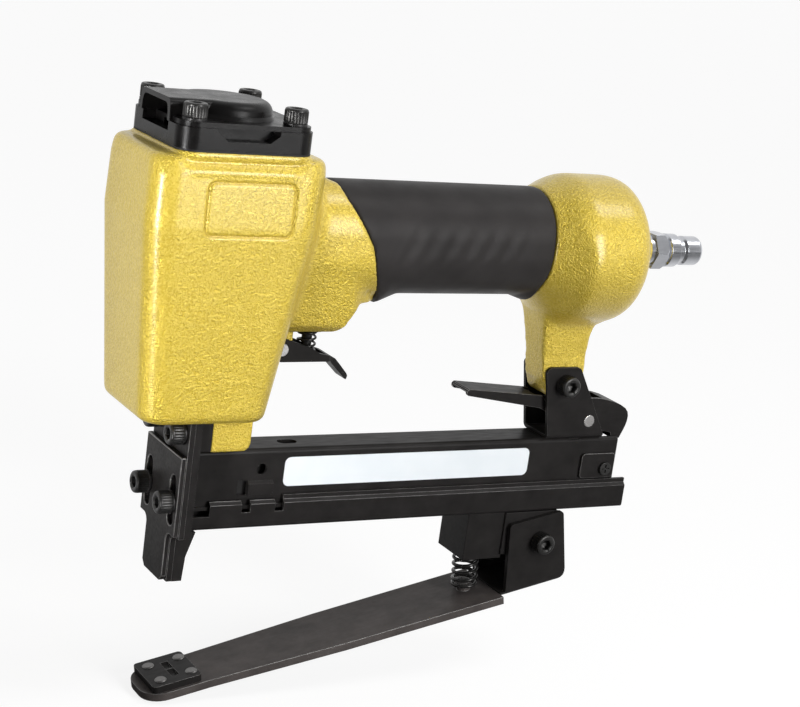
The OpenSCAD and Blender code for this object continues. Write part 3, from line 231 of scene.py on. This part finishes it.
def black_steel(name, colour, roughness, metallic=0.0, specular=0.1):
    p = Paint(name, colour, roughness, metallic=metallic, specular=specular)
    cloud = p.noise(11, 4, 0.6)
    lines = p.noise(1.1, place=p.stretched(0.12, 1, 1))
    p.colour_by(p.ramp(cloud, 0.3, 0.7), shade(colour, 0.75), shade(colour, 1.3))
    p.roughness_by(p.ramp(lines, 0.3, 0.7, roughness - 0.06, roughness + 0.08))
    p.bump(lines, 0.03, 0.3)
    return p.material


# Painted highlight: bevel faces take this lighter, patchy grey metal in place of the light that rounded
# edges catch.
def painted_edge_highlight():
    p = Paint("painted_edge_highlight", (0.05, 0.048, 0.047), 0.34, metallic=0.4)
    patch = p.noise(3.1, 3, 0.6)
    p.colour_by(p.ramp(patch, 0.35, 0.75), (0.09, 0.086, 0.084), (0.22, 0.214, 0.21))
    return p.material


def grip_rubber():
    p = Paint("grip_rubber", (0.03, 0.028, 0.028), 0.44, specular=0.11)
    p.colour_by(p.ramp(p.noise(14, 3), 0.3, 0.7), (0.026, 0.0238, 0.0234), (0.036, 0.033, 0.0325))
    p.roughness_by(p.ramp(p.noise(8, 3), 0.3, 0.7, 0.4, 0.5))
    p.bump(p.noise(0.42, 2), 0.12, 0.45)
    return p.material


def soft_rubber():
    p = Paint("seal_rubber", (0.016, 0.016, 0.016), 0.6, specular=0.3)
    p.roughness_by(p.ramp(p.noise(3, 2), 0.3, 0.7, 0.55, 0.66))
    p.bump(p.noise(0.66, 2), 0.04, 0.3)
    return p.material


def bright_metal(name, colour, roughness, line_mm, along):
    p = Paint(name, colour, roughness, metallic=1.0)
    squeeze = [0.06 if axis == along else 1 for axis in "xyz"]
    lines = p.noise(line_mm, place=p.stretched(*squeeze))
    p.colour_by(p.ramp(p.noise(5, 2), 0.3, 0.7), shade(colour, 0.93), shade(colour, 1.07))
    p.roughness_by(p.ramp(lines, 0.3, 0.7, roughness * 0.8, roughness * 1.25))
    p.bump(lines, 0.01, 0.25)
    return p.material


def label_film():
    p = Paint("label_white", (0.78, 0.815, 0.84), 0.32)
    p.colour_by(p.ramp(p.noise(16, 2), 0.3, 0.7), (0.8, 0.85, 0.885), (0.85, 0.89, 0.92))
    p.bump(p.noise(2.5, 1), 0.01, 0.2)
    return p.material


def white_plastic():
    p = Paint("white_plastic", (0.85, 0.85, 0.82), 0.4)
    p.roughness_by(p.ramp(p.noise(3, 2), 0.3, 0.7, 0.36, 0.46))
    p.bump(p.noise(1.25, 2), 0.02, 0.2)
    return p.material


paints = {
    "yellow_enamel": yellow_enamel(),
    "black_casting": black_paint("black_casting", (0.007, 0.0065, 0.0064), 0.35),
    "seal_rubber": soft_rubber(),
    "black_screw": black_steel("black_screw", (0.05, 0.049, 0.048), 0.34, 0.75),
    "washer_steel": black_steel("washer_steel", (0.035, 0.034, 0.034), 0.36, 0.6),
    "grip_rubber": grip_rubber(),
    "nickel": bright_metal("nickel", (0.52, 0.53, 0.56), 0.2, 0.33, "x"),
    "black_steel": black_steel("black_steel", (0.015, 0.0138, 0.0134), 0.4),
    "bright_steel": bright_metal("bright_steel", (0.5, 0.49, 0.48), 0.32, 0.25, "y"),
    "spring_steel": black_steel("spring_steel", (0.035, 0.034, 0.033), 0.24, 0.6, 0.3),
    "bright_aluminium": bright_metal("bright_aluminium", (0.72, 0.72, 0.73), 0.3, 0.33, "z"),
    "white_plastic": white_plastic(),
    "label_white": label_film(),
}
EDGE_HIGHLIGHT = painted_edge_highlight()
# Own tones of some nodes, and painted light on others, as noted at each entry.
TONES_AND_PAINTED_LIGHT = {
    # Painted reflection: the arm's black steel is painted lighter to stand in for the bright reflection on
    # its top.
    "clinch_arm": black_steel("arm_painted_reflection", (0.075, 0.066, 0.063), 0.42),
    # Painted shade: the bright-steel pusher is painted in dark washer steel so the opening beside the lanced
    # tab shows dark.
    "pusher": paints["washer_steel"],
    "anvil_rivets": bright_metal("rivet_steel", (0.15, 0.146, 0.143), 0.4, 0.25, "y"),
}

# Mesh tools


def cad_shape(node):
    """Points of a CAD node with the seams of its faces closed, and its triangles."""
    mesh = frame["nodes"][node].data
    points = np.zeros(len(mesh.vertices) * 3)
    mesh.vertices.foreach_get("co", points)
    mesh.calc_loop_triangles()
    faces = np.zeros(len(mesh.loop_triangles) * 3, int)
    mesh.loop_triangles.foreach_get("vertices", faces)
    key = np.round(points.reshape(-1, 3) / (MM * 1e-3)).astype(np.int64)
    _, first, where = np.unique(key, axis=0, return_index=True, return_inverse=True)
    faces = where.reshape(-1)[faces].reshape(-1, 3)
    keep = (faces[:, 0] != faces[:, 1]) & (faces[:, 1] != faces[:, 2]) & (faces[:, 0] != faces[:, 2])
    return points.reshape(-1, 3)[first], faces[keep]


def box_mm(node):
    low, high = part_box(node)
    return np.array(low) / MM, np.array(high) / MM


def new_mesh(name, points, faces):
    mesh = bpy.data.meshes.new(name)
    mesh.from_pydata([tuple(p) for p in points], [], [tuple(int(i) for i in f) for f in faces])
    mesh.update()
    return mesh


def new_object(name, mesh):
    obj = bpy.data.objects.new(name, mesh)
    scene.collection.objects.link(obj)
    return obj


def bake_modifiers(obj):
    """Turns what the modifiers make into the object's own mesh."""
    graph = bpy.context.evaluated_depsgraph_get()
    made = bpy.data.meshes.new_from_object(obj.evaluated_get(graph))
    obj.modifiers.clear()
    obj.data = made
    return obj


def smooth_shading(mesh, angle):
    mesh.shade_smooth()
    mesh.set_sharp_from_angle(angle=math.radians(angle))


def dress(obj, *nodes, materials=None, rides=True):
    """Lets a piece stand for CAD nodes of one body, in their finish, and ride on that body."""
    slot = slot_of[nodes[0]]
    obj.data.materials.clear()
    for material in materials or [paints[slot]]:
        obj.data.materials.append(material)
    if rides:
        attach(obj, body_of[nodes[0]])
    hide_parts(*nodes)
    return obj


FLAT_WITHIN = math.radians(0.4)
BEVEL_SEGMENTS = 3
BEVEL_FROM = math.radians(28)


def eased(node, width_mm, lit_edge_paint=False):
    """A CAD node with its sharp edges broken."""
    points, faces = cad_shape(node)
    mesh = new_mesh(node + "_eased", points, faces)
    bm = bmesh.new()
    bm.from_mesh(mesh)
    bmesh.ops.dissolve_limit(bm, angle_limit=FLAT_WITHIN, verts=bm.verts, edges=bm.edges)
    bm.to_mesh(mesh)
    bm.free()
    obj = new_object(node + "_eased", mesh)
    bevel = obj.modifiers.new("edges", "BEVEL")
    bevel.width = width_mm * MM
    bevel.segments = BEVEL_SEGMENTS
    bevel.limit_method = "ANGLE"
    bevel.angle_limit = BEVEL_FROM
    bevel.use_clamp_overlap = True
    # Bevel faces go to a second slot, which carries the painted edge highlight.
    if lit_edge_paint:
        mesh.materials.append(None)
        mesh.materials.append(None)
        bevel.material = 1
    bake_modifiers(obj)
    smooth_shading(obj.data, 40)
    weighted = obj.modifiers.new("normals", "WEIGHTED_NORMAL")
    weighted.keep_sharp = True
    weighted.weight = 80
    bake_modifiers(obj)
    kept = [polygon.material_index for polygon in obj.data.polygons] if lit_edge_paint else None
    tone = TONES_AND_PAINTED_LIGHT.get(node, paints[slot_of[node]])
    dress(obj, node, materials=[tone, EDGE_HIGHLIGHT] if lit_edge_paint else [tone])
    if lit_edge_paint:
        obj.data.polygons.foreach_set("material_index", kept)
    return obj


def remeshed(node, name, voxel_mm):
    """A CAD node rebuilt on an even grid of quads."""
    obj = new_object(name, new_mesh(name, *cad_shape(node)))
    grid = obj.modifiers.new("grid", "REMESH")
    grid.mode = "VOXEL"
    grid.voxel_size = voxel_mm * MM
    return bake_modifiers(obj)


def mesh_points(mesh):
    """Points in millimetres."""
    points = np.zeros(len(mesh.vertices) * 3)
    mesh.vertices.foreach_get("co", points)
    return points.reshape(-1, 3) / MM


def set_points(mesh, points):
    mesh.vertices.foreach_set("co", (points * MM).ravel())
    mesh.update()


def mesh_normals(mesh):
    normals = np.zeros(len(mesh.vertices) * 3, np.float32)
    mesh.vertex_normals.foreach_get("vector", normals)
    return normals.reshape(-1, 3).astype(float)


class Net:
    """Neighbours of a mesh's points, for smoothing."""

    IN_HOLLOW, ON_EDGE = 0.6, 0.03

    def __init__(self, mesh):
        edges = np.zeros(len(mesh.edges) * 2, int)
        mesh.edges.foreach_get("vertices", edges)
        self.a, self.b = edges.reshape(-1, 2).T
        self.size = len(mesh.vertices)
        self.count = np.maximum(np.bincount(edges, minlength=self.size), 1).astype(float)

    def pull(self, points):
        """From each point to the middle of its neighbours."""
        middle = np.empty_like(points)
        for axis in range(3):
            sums = np.bincount(self.a, points[self.b, axis], self.size)
            middle[:, axis] = sums + np.bincount(self.b, points[self.a, axis], self.size)
        return middle / self.count[:, None] - points

    def relax(self, points, weight, rounds):
        weight = np.broadcast_to(np.asarray(weight, float), (self.size,))[:, None]
        for _ in range(rounds):
            points = points + weight * self.pull(points)
        return points

    def fill(self, points, normals, weight, rounds):
        """Rounds the hollow corners and hardly touches the outer edges."""
        weight = np.asarray(weight, float)[:, None]
        for _ in range(rounds):
            pull = self.pull(points)
            outwards = np.sum(pull * normals, 1, keepdims=True) > 0
            points = points + weight * np.where(outwards, self.IN_HOLLOW, self.ON_EDGE) * pull
        return points


def inside(points, low, high, fade=2.0):
    """1 inside a box, falling to 0 over the fade outside it."""
    gap = np.maximum(np.asarray(low) - points, points - np.asarray(high)).max(1)
    return np.clip(1 - gap / fade, 0, 1)


def smooth_step(value, low, high):
    t = np.clip((value - low) / (high - low), 0, 1)
    return t * t * (3 - 2 * t)


def bell(distance, width):
    """1 at the middle, falling away on both sides."""
    return np.exp(-((distance / width) ** 2))


def skin(rings):
    """Points and faces of a closed surface through rings of equal size."""
    n = len(rings[0])
    points = np.concatenate(rings)
    faces = []
    for i in range(len(rings) - 1):
        for k in range(n):
            a, b = i * n + k, i * n + (k + 1) % n
            faces.append((a, b, b + n, a + n))
    faces.append(tuple(range(n - 1, -1, -1)))
    faces.append(tuple((len(rings) - 1) * n + k for k in range(n)))
    return points, faces


def joined(parts):
    """Several (points, faces) as one."""
    points, faces, start = [], [], 0
    for p, f in parts:
        points.append(p)
        faces += [tuple(i + start for i in face) for face in f]
        start += len(p)
    return np.concatenate(points), faces


# Casting

HEAD_WALL_R = 24.0
HEAD_HALF_W = 26.0
TAPER_UP, TAPER_DOWN = 0.027, 0.0294
VALVE_X = 47.4
HANDLE_Z = 129.2
BULB_Z = 126.5
CHAMBER_R = 15.6
BULB_WALL_R = 25.6
VALVE_WALL_R = 8.5
GRIP_R = 19.0
GRIP_RISE = 2.2
SIDE_MID_Z = 135.8
HANDLE_FROM = 20
NECK_BOX = ((24, -40, 101), (60, 40, 156))
LEG_BOX = ((140, -40, 84), (192, 40, 116))
SHOULDER_BOX = ((149, -40, 90), (163, 40, 160))
# Front edge of the grip: height and X, from the top down
GRIP_JOINT = (
    (200, 47.4), (151.6, 47.6), (145.4, 50.0), (129.2, 60.4), (119.2, 63.4), (103.2, 71.4), (60, 71.4),
)
GRIP_FADE = (1.5, 4)


def head_half_width(z):
    """Half the head's width between its corners, by height."""
    above, below = np.maximum(z - SIDE_MID_Z, 0), np.maximum(SIDE_MID_Z - z, 0)
    return HEAD_HALF_W - TAPER_UP * above - TAPER_DOWN * below


def casting_masks(points):
    """Where the hollow corners of the casting get their fillets."""
    x, y, z = points.T
    heights, joint = np.array(GRIP_JOINT[::-1]).T
    before_grip = smooth_step(np.interp(z, heights, joint) - x, *GRIP_FADE)
    in_head = np.hypot(x, y) < HEAD_WALL_R
    in_handle = (np.hypot(y, z - HANDLE_Z) < CHAMBER_R) & (x > HANDLE_FROM)
    at_valve = (np.hypot(x - VALVE_X, y) < VALVE_WALL_R) & (z < HANDLE_Z)
    in_bulb = np.hypot(y, z - BULB_Z) < BULB_WALL_R
    neck = inside(points, *NECK_BOX, fade=3) * before_grip
    neck[in_head | in_handle | at_valve] = 0
    leg = inside(points, *LEG_BOX, fade=4)
    leg[in_bulb] = 0
    shoulder = inside(points, *SHOULDER_BOX, fade=3)
    shoulder[in_bulb] = 0
    return neck, leg, shoulder


FRAME_MID = (6.3, 142.8)
FRAME_HALF = (16.6, 9.3)
FRAME_CORNER = 3.0
FRAME_DEPTH = 0.6
FRAME_LINE = 0.55
FRAME_SIDE_Y = -24.3


def frame_distance(x, z):
    """Distance from the line of the sunk frame on the head's side."""
    qx = np.abs(x - FRAME_MID[0]) - FRAME_HALF[0] + FRAME_CORNER
    qz = np.abs(z - FRAME_MID[1]) - FRAME_HALF[1] + FRAME_CORNER
    outer = np.hypot(np.maximum(qx, 0), np.maximum(qz, 0)) + np.minimum(np.maximum(qx, qz), 0)
    return np.abs(outer - FRAME_CORNER)


def on_frame(points, margin):
    """Whether points lie on the head's side within the frame and a margin."""
    x, y, z = points.T
    half = np.array(FRAME_HALF) + margin
    within = (np.abs(x - FRAME_MID[0]) < half[0]) & (np.abs(z - FRAME_MID[1]) < half[1])
    return within & (y < FRAME_SIDE_Y)


def sink_frame(mesh):
    """Cuts the frame as a fine groove into a locally finer mesh."""
    bm = bmesh.new()
    bm.from_mesh(mesh)
    centres = np.array([f.calc_center_median() for f in bm.faces]) / MM
    bm.faces.ensure_lookup_table()
    edges = {e for i in np.nonzero(on_frame(centres, 2.2))[0] for e in bm.faces[i].edges}
    bmesh.ops.subdivide_edges(bm, edges=list(edges), cuts=3, use_grid_fill=True)
    bm.to_mesh(mesh)
    bm.free()
    points = mesh_points(mesh)
    zone = on_frame(points, 2.6)
    d = frame_distance(points[zone, 0], points[zone, 2])
    points[zone, 1] += FRAME_DEPTH * bell(d, FRAME_LINE)
    set_points(mesh, points)


BULB_ROUND_AT = (166.7, 10.5)
BULB_ROUND = 19.0
BOSS_R = 8.9
REAR_SQUARE = 3.5
REAR_DEPTH = 15.7
REAR_FADE = (0.8, 2)


def square_rear(points):
    """Fuller rear corner of the bulb."""
    x, y, z = points.T.copy()
    radius = np.hypot(y, z - BULB_Z)
    dx, dr = x - BULB_ROUND_AT[0], np.maximum(radius - BULB_ROUND_AT[1], 0)
    off = np.abs(np.hypot(dx, dr) - BULB_ROUND)
    corner = (dx > 0) & (radius > BOSS_R) & (off < REAR_FADE[1])
    turn = np.arctan2(dr, dx)
    grow = (np.abs(np.cos(turn)) ** REAR_SQUARE + np.abs(np.sin(turn)) ** REAR_SQUARE) ** (-1 / REAR_SQUARE)
    share = corner * (1 - smooth_step(off, *REAR_FADE))
    out = share * dr * (grow - 1) / np.maximum(radius, 1)
    points[:, 0] += share * dx * (grow * REAR_DEPTH / BULB_ROUND - 1)
    points[:, 1] += y * out
    points[:, 2] += (z - BULB_Z) * out


CONE_FRONT, CONE_MID, CONE_REAR = 139.6, 150, 157
CONE_SLOPE = 0.8
CONE_REAR_R = 22.8
CONE_FADE = (100, 110)


def straighten_cone(points):
    """Straight cone between the grip and the bulb, above the leg."""
    x, y, z = points.T.copy()
    rise = np.sign(z - HANDLE_Z) * np.maximum(np.abs(z - HANDLE_Z) - GRIP_RISE, 0)
    spread = np.hypot(y, rise)
    extra = spread - GRIP_R - CONE_SLOPE * (x - CONE_FRONT)
    outside = np.where(x < CONE_MID, spread > GRIP_R - 1, np.hypot(y, z - BULB_Z) > CONE_REAR_R)
    cone = (x > CONE_FRONT + 0.3) & (x < CONE_REAR) & outside & (extra > 0)
    shift = cone * extra * smooth_step(z, *CONE_FADE) / np.maximum(spread, 1)
    points[:, 1] -= y * shift
    points[:, 2] -= rise * shift


HEAD_SIDE_Y = 22.9
RIM_FRONT, RIM_REAR = (-22, -15), (22, 29)
SHOULDER_Z, SHOULDER_LIFT, SHOULDER_WIDTH = 155.8, 0.45, 1.3
HOLLOW_Z, HOLLOW_DEPTH, HOLLOW_WIDTH = 158.7, 0.75, 0.9


def press_rim(points, normals):
    """Hollow line between the head's shoulder and the rim under the cap."""
    x, y, z = points.T
    on_side = (np.abs(y) > HEAD_SIDE_Y) & (np.abs(normals[:, 2]) < 0.6)
    reach = smooth_step(x, *RIM_FRONT) * (1 - smooth_step(x, *RIM_REAR)) * on_side
    lift = SHOULDER_LIFT * bell(z - SHOULDER_Z, SHOULDER_WIDTH)
    lift -= HOLLOW_DEPTH * bell(z - HOLLOW_Z, HOLLOW_WIDTH)
    points[:, 1] += np.sign(y) * reach * lift


CASTING_VOXEL = 0.62
FILLET_ROUNDS = 110


def body_casting():
    """The casting with its bulb, rim and frame shaped and its hollow corners filled."""
    obj = remeshed("body_casting", "casting", CASTING_VOXEL)
    mesh = obj.data
    points = mesh_points(mesh)
    zone = on_frame(points, 1.5)
    points[zone, 1] = -head_half_width(points[zone, 2])
    square_rear(points)
    straighten_cone(points)
    net = Net(mesh)
    points = net.relax(points, 0.5, 3)
    set_points(mesh, points)
    press_rim(points, mesh_normals(mesh))
    neck, leg, shoulder = casting_masks(points)
    points = net.fill(points, mesh_normals(mesh), np.maximum(neck, leg), FILLET_ROUNDS)
    points = net.relax(points, 0.5 * shoulder, 7)
    points = net.relax(points, 0.5 * np.maximum(neck, leg), 5)
    set_points(mesh, points)
    sink_frame(mesh)
    mesh.shade_smooth()
    dress(obj, "body_casting")


# Grip

GRIP_VOXEL = 0.7
GRIP_SKIN = 1.4
RIDGED_X = (62, 134)
RIDGED_DROP, RIDGED_HALF = 2, 12
WAVE_FROM = 72.0
WAVE_PITCH = 8.3
WAVE_LEAN = math.tan(math.radians(24))
WAVE_DEPTH = 0.34
WAVE_DROP, WAVE_HALF = 1.5, 8.5
WAVES_IN, WAVES_OUT = (-0.6, 0.2), (5.4, 7.2)


def grip():
    """Rubber sleeve with soft slanted waves on both sides."""
    obj = remeshed("grip_sleeve", "grip", GRIP_VOXEL)
    mesh = obj.data
    points = mesh_points(mesh)
    x, y, z = points.T
    drop = np.maximum(np.abs(z - HANDLE_Z) - GRIP_RISE, 0)
    side = (x > RIDGED_X[0]) & (x < RIDGED_X[1]) & (np.abs(z - HANDLE_Z + RIDGED_DROP) < RIDGED_HALF)
    side &= np.hypot(y, drop) > GRIP_R - GRIP_SKIN
    points[side, 1] = np.sign(y[side]) * np.sqrt(GRIP_R**2 - drop[side] ** 2)
    net = Net(mesh)
    points = net.relax(points, 0.5, 6)
    x, y, z = points.T
    phase = (x - WAVE_FROM - WAVE_LEAN * (z - HANDLE_Z)) / WAVE_PITCH
    reach = smooth_step(phase, *WAVES_IN) * (1 - smooth_step(phase, *WAVES_OUT))
    reach *= bell(z - HANDLE_Z + WAVE_DROP, WAVE_HALF)
    reach *= (np.abs(y) > GRIP_R - 4) & (np.hypot(y, drop) > GRIP_R - GRIP_SKIN)
    points[:, 1] += np.sign(y) * reach * WAVE_DEPTH * (np.cos(2 * np.pi * phase) - 1) / 2
    set_points(mesh, points)
    mesh.shade_smooth()
    dress(obj, "grip_sleeve")


# Screws

SCREW_SIDES = 60
HEAD_R, HEAD_H = 4.25, 5.0
KEY = 4.0
SHANK_R = 2.5
TOOTH_DEPTH = 0.28


def screw_shape(length):
    """A socket head screw with a knurled head, hanging from its seat at height 0."""
    angles = np.arange(SCREW_SIDES) * 2 * np.pi / SCREW_SIDES
    unit = np.stack([np.cos(angles), np.sin(angles)], 1)
    knurled = HEAD_R - np.where(np.arange(SCREW_SIDES) % 2, TOOTH_DEPTH, 0.0)
    hexagon = (KEY / 2) / np.cos((angles + np.pi / 6) % (np.pi / 3) - np.pi / 6)
    shank = [(SHANK_R - 0.5, -length), (SHANK_R, -length + 0.5), (SHANK_R, 0)]
    head = [(HEAD_R - 0.3, 0), (HEAD_R - 0.06, 0.22), (knurled, 0.4), (knurled, HEAD_H - 1.0)]
    crown = [(HEAD_R - 0.08, HEAD_H - 0.8), (HEAD_R - 0.2, HEAD_H - 0.35), (HEAD_R - 0.5, HEAD_H - 0.08)]
    face = [(HEAD_R - 0.85, HEAD_H), (KEY / 2 + 0.55, HEAD_H)]
    socket = [(hexagon, HEAD_H - 0.35), (hexagon, HEAD_H - 2.7)]
    drill = [(hexagon * 0.4, HEAD_H - 3.2), (0.02, HEAD_H - 3.3)]
    rings = []
    for radius, z in shank + head + crown + face + socket + drill:
        around = unit * np.broadcast_to(radius, SCREW_SIDES)[:, None]
        rings.append(np.column_stack([around, np.full(SCREW_SIDES, z)]))
    return skin(rings)


def screws(node, axis, across):
    """Knurled screws where a CAD node has its plain ones. Axis points out of the heads."""
    low, high = box_mm(node)
    axis = np.array(axis, float)
    k = int(np.abs(axis).argmax())
    top, end = (high[k], low[k]) if axis[k] > 0 else (low[k], high[k])
    seat = top - axis[k] * HEAD_H
    x_axis = np.roll(np.abs(axis), 1)
    turn = np.array([x_axis, np.cross(axis, x_axis), axis])
    shape, faces = screw_shape(abs(end - seat))
    spots = [[]]
    for i in range(3):
        if i == k:
            choices = [seat]
        elif i in across:
            choices = [low[i] + HEAD_R, high[i] - HEAD_R]
        else:
            choices = [(low[i] + high[i]) / 2]
        spots = [s + [c] for s in spots for c in choices]
    points, faces = joined([(shape @ turn + np.array(s), faces) for s in spots])
    obj = new_object(node + "_knurled", new_mesh(node + "_knurled", points * MM, faces))
    smooth_shading(obj.data, 38)
    return dress(obj, node)


# Springs


def coil_shape(radius, wire_r, height, turns, closed=0.9, sides=10, per_turn=30):
    """A spring wire about Z from height 0, with a closed turn at each end."""
    total = turns + 2 * closed
    t = np.linspace(0, total, int(total * per_turn) + 1)
    slope = smooth_step(t, closed * 0.6, closed + 0.5)
    slope *= 1 - smooth_step(t, total - closed - 0.5, total - closed * 0.6)
    flat = 2.06 * wire_r
    rise = np.concatenate([[0], np.cumsum((slope[1:] + slope[:-1]) / 2 * np.diff(t))])
    flats = np.concatenate([[0], np.cumsum((2 - slope[1:] - slope[:-1]) / 2 * np.diff(t))])
    z = flats * flat + rise * (height - flats[-1] * flat) / rise[-1]
    a = 2 * np.pi * t
    middle = np.stack([radius * np.cos(a), radius * np.sin(a), z], 1)
    along = np.gradient(middle, axis=0)
    along /= np.linalg.norm(along, axis=1, keepdims=True)
    out = np.stack([np.cos(a), np.sin(a), np.zeros_like(a)], 1)
    up = np.cross(along, out)
    ring = np.arange(sides) * 2 * np.pi / sides
    side, top = np.cos(ring)[:, None], np.sin(ring)[:, None]
    return skin([m + wire_r * (side * o + top * u) for m, o, u in zip(middle, out, up)])


def spring(node, shape, turn, place, rides=True):
    """A wire that stands for a CAD spring, turned and moved to its place."""
    points, faces = shape
    obj = new_object(node + "_wire", new_mesh(node + "_wire", (points @ turn + np.array(place)) * MM, faces))
    smooth_shading(obj.data, 50)
    return dress(obj, node, rides=rides)


UPRIGHT = np.eye(3)
ALONG_X = np.array([[0, 0, -1], [0, 1, 0], [1, 0, 0]], float)
ARM_SPRING_X = 133.5
ARM_SPRING_LEAN = math.radians(5.8)


def arm_spring():
    """Leaning coil that stands for the CAD arm spring."""
    low, high = box_mm("arm_spring")
    c, s = math.cos(ARM_SPRING_LEAN), math.sin(ARM_SPRING_LEAN)
    tilt = np.array([[c, 0, s], [0, 1, 0], [-s, 0, c]])
    wire = 0.7
    shape = coil_shape(4.8, wire, height=13.2, turns=3.4)
    obj = spring("arm_spring", shape, tilt, (ARM_SPRING_X, 0, low[2] + wire + 0.1), rides=False)
    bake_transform(obj)


def trigger_spring():
    low, high = box_mm("trigger_spring")
    wire = 0.45
    height = high[2] - low[2] - 2 * wire - 0.1
    shape = coil_shape(3.3, wire, height, turns=3.0, closed=0.8)
    obj = spring("trigger_spring", shape, UPRIGHT, (VALVE_X, 0, low[2] + wire + 0.05))
    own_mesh(obj)


def pusher_spring():
    low, high = box_mm("pusher_spring")
    wire = 0.3
    length = high[0] - low[0] - 2 * wire
    middle = (low + high) / 2
    shape = coil_shape(2.4, wire, length, turns=24, closed=0.8, sides=6, per_turn=14)
    obj = spring("pusher_spring", shape, ALONG_X, (low[0] + wire, middle[1], middle[2]))
    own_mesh(obj)


def head_valve_spring():
    low, high = box_mm("head_valve_spring")
    wire = 0.5
    height = high[2] - low[2] - 2 * wire
    shape = coil_shape(11, wire, height, turns=1.6, closed=0.5)
    obj = spring("head_valve_spring", shape, UPRIGHT, (0, 0, low[2] + wire))
    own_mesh(obj)


# Pieces

body_casting()
grip()
screws("cap_screws", (0, 0, 1), (0, 1))
screws("plate_screws", (-1, 0, 0), (1,))
screws("nose_screws", (-1, 0, 0), (1,))
screws("bracket_bolt", (0, -1, 0), ())
screws("pivot_bolt", (0, -1, 0), ())
arm_spring()
trigger_spring()
pusher_spring()
head_valve_spring()

# Widths of the broken edges, and of those whose bevels carry a painted highlight
EASED = {
    "cylinder_cap": 1.1, "exhaust_cover": 0.6, "cap_washers": 0.15, "air_plug": 0.25, "trigger": 0.45,
    "trigger_pin": 0.3, "latch_pin": 0.3, "stop_screw": 0.15, "anvil_rivets": 0.2, "plate_washers": 0.15,
    "nose_washers": 0.15, "bracket_nut": 0.4, "pivot_nut": 0.4, "hinge_block": 0.7, "arm_fork": 0.6,
}
EASED_EDGE_HIGHLIGHT = {
    "nose_block": 0.4, "nose_cover": 0.4, "front_plate": 0.45, "fixed_magazine": 0.3, "stop_plate": 0.35,
    "rear_bracket": 0.4, "latch_lever": 0.45, "sliding_magazine": 0.3, "clinch_arm": 0.5, "anvil_plate": 0.4,
    "slide_end": 0.25,
}
for node, width in EASED.items():
    eased(node, width)
for node, width in EASED_EDGE_HIGHLIGHT.items():
    eased(node, width, lit_edge_paint=True)
for node, obj in frame["nodes"].items():
    if not obj.hide_render:
        obj.data.materials.clear()
        obj.data.materials.append(TONES_AND_PAINTED_LIGHT.get(node, paints[slot_of[node]]))

# Floor, light and background


def shown_level(tree, plain, full, behind, low, high, dark):
    """Level that the camera sees in full, metal and glass too but darker behind the camera."""
    path = tree.nodes.new("ShaderNodeLightPath")

    def combine(operation, a, b):
        node = tree.nodes.new("ShaderNodeMath")
        node.operation = operation
        tree.links.new(a, node.inputs[0])
        tree.links.new(b, node.inputs[1])
        return node.outputs[0]

    def ramp(value, *limits):
        node = tree.nodes.new("ShaderNodeMapRange")
        node.interpolation_type = "SMOOTHSTEP"
        for socket, limit in zip(("From Min", "From Max", "To Min", "To Max"), limits):
            node.inputs[socket].default_value = limit
        tree.links.new(value, node.inputs["Value"])
        return node.outputs["Result"]

    facing = tree.nodes.new("ShaderNodeVectorMath")
    facing.operation = "DOT_PRODUCT"
    facing.inputs[1].default_value = camera_turn().col[2]
    tree.links.new(behind, facing.inputs[0])
    mirrored = combine("MAXIMUM", path.outputs["Is Glossy Ray"], path.outputs["Is Transmission Ray"])
    mirrored = combine("MULTIPLY", mirrored, ramp(facing.outputs["Value"], low, high, 1.0, dark))
    return ramp(combine("MAXIMUM", path.outputs["Is Camera Ray"], mirrored), 0.0, 1.0, plain, full)


def floor(albedo, glow):
    """A pale floor that shows white around the object's shadow."""
    half = 8
    z = cad_low.z - 0.0005
    corners = [(-half, -half, z), (half, -half, z), (half, half, z), (-half, half, z)]
    mesh = new_mesh("floor", corners, [(0, 1, 2, 3)])
    obj = new_object("floor", mesh)
    p = Paint("floor_white", (albedo,) * 3, 0.9, specular=0.05)
    p.set("Emission Color", (1, 1, 1, 1))
    level = shown_level(p.tree, 0.0, glow, p.place, -0.3, 0.08, 0.03)
    p.link(level, p.shader.inputs["Emission Strength"])
    mesh.materials.append(p.material)


def aimed(obj, place, aim):
    obj.location = place
    obj.rotation_euler = (Vector(aim) - Vector(place)).to_track_quat("-Z", "Y").to_euler()
    obj.visible_camera = False
    scene.collection.objects.link(obj)


def softbox(name, place, aim, size, watts, spread=math.pi):
    data = bpy.data.lights.new(name, "AREA")
    data.shape = "RECTANGLE"
    data.size, data.size_y = size
    data.energy = watts
    data.spread = spread
    aimed(bpy.data.objects.new(name, data), place, aim)


def sky_lamp(name, towards, strength, angle):
    """Even light from far away, towards the given side, with a soft edge."""
    data = bpy.data.lights.new(name, "SUN")
    data.energy = strength
    data.angle = math.radians(angle)
    aimed(bpy.data.objects.new(name, data), Vector(towards) * 3, (0, 0, 0))


def world(ambient, dark):
    """White studio whose side behind the camera is dark in reflections."""
    w = bpy.data.worlds.new("studio")
    scene.world = w
    w.use_nodes = True
    tree = w.node_tree
    back = tree.nodes["Background"]
    back.inputs["Color"].default_value = (1, 1, 1, 1)
    place = tree.nodes.new("ShaderNodeTexCoord").outputs["Generated"]
    tree.links.new(shown_level(tree, ambient, 0.97, place, 0.0, 0.5, dark), back.inputs["Strength"])


floor(0.22, 0.855)
world(0.19, 0.03)
softbox("key", (0.46, -1.08, 0.37), (0.1, 0.0, 0.1), (0.36, 0.73), 12)
sky_lamp("overhead", (0.5, -0.25, 0.83), 0.7, 20)
softbox("left", (-0.3, -0.15, 0.06), (0.0, 0.0, 0.118), (0.07, 0.34), 0.11, math.radians(26))

scene.view_settings.view_transform = "Standard"
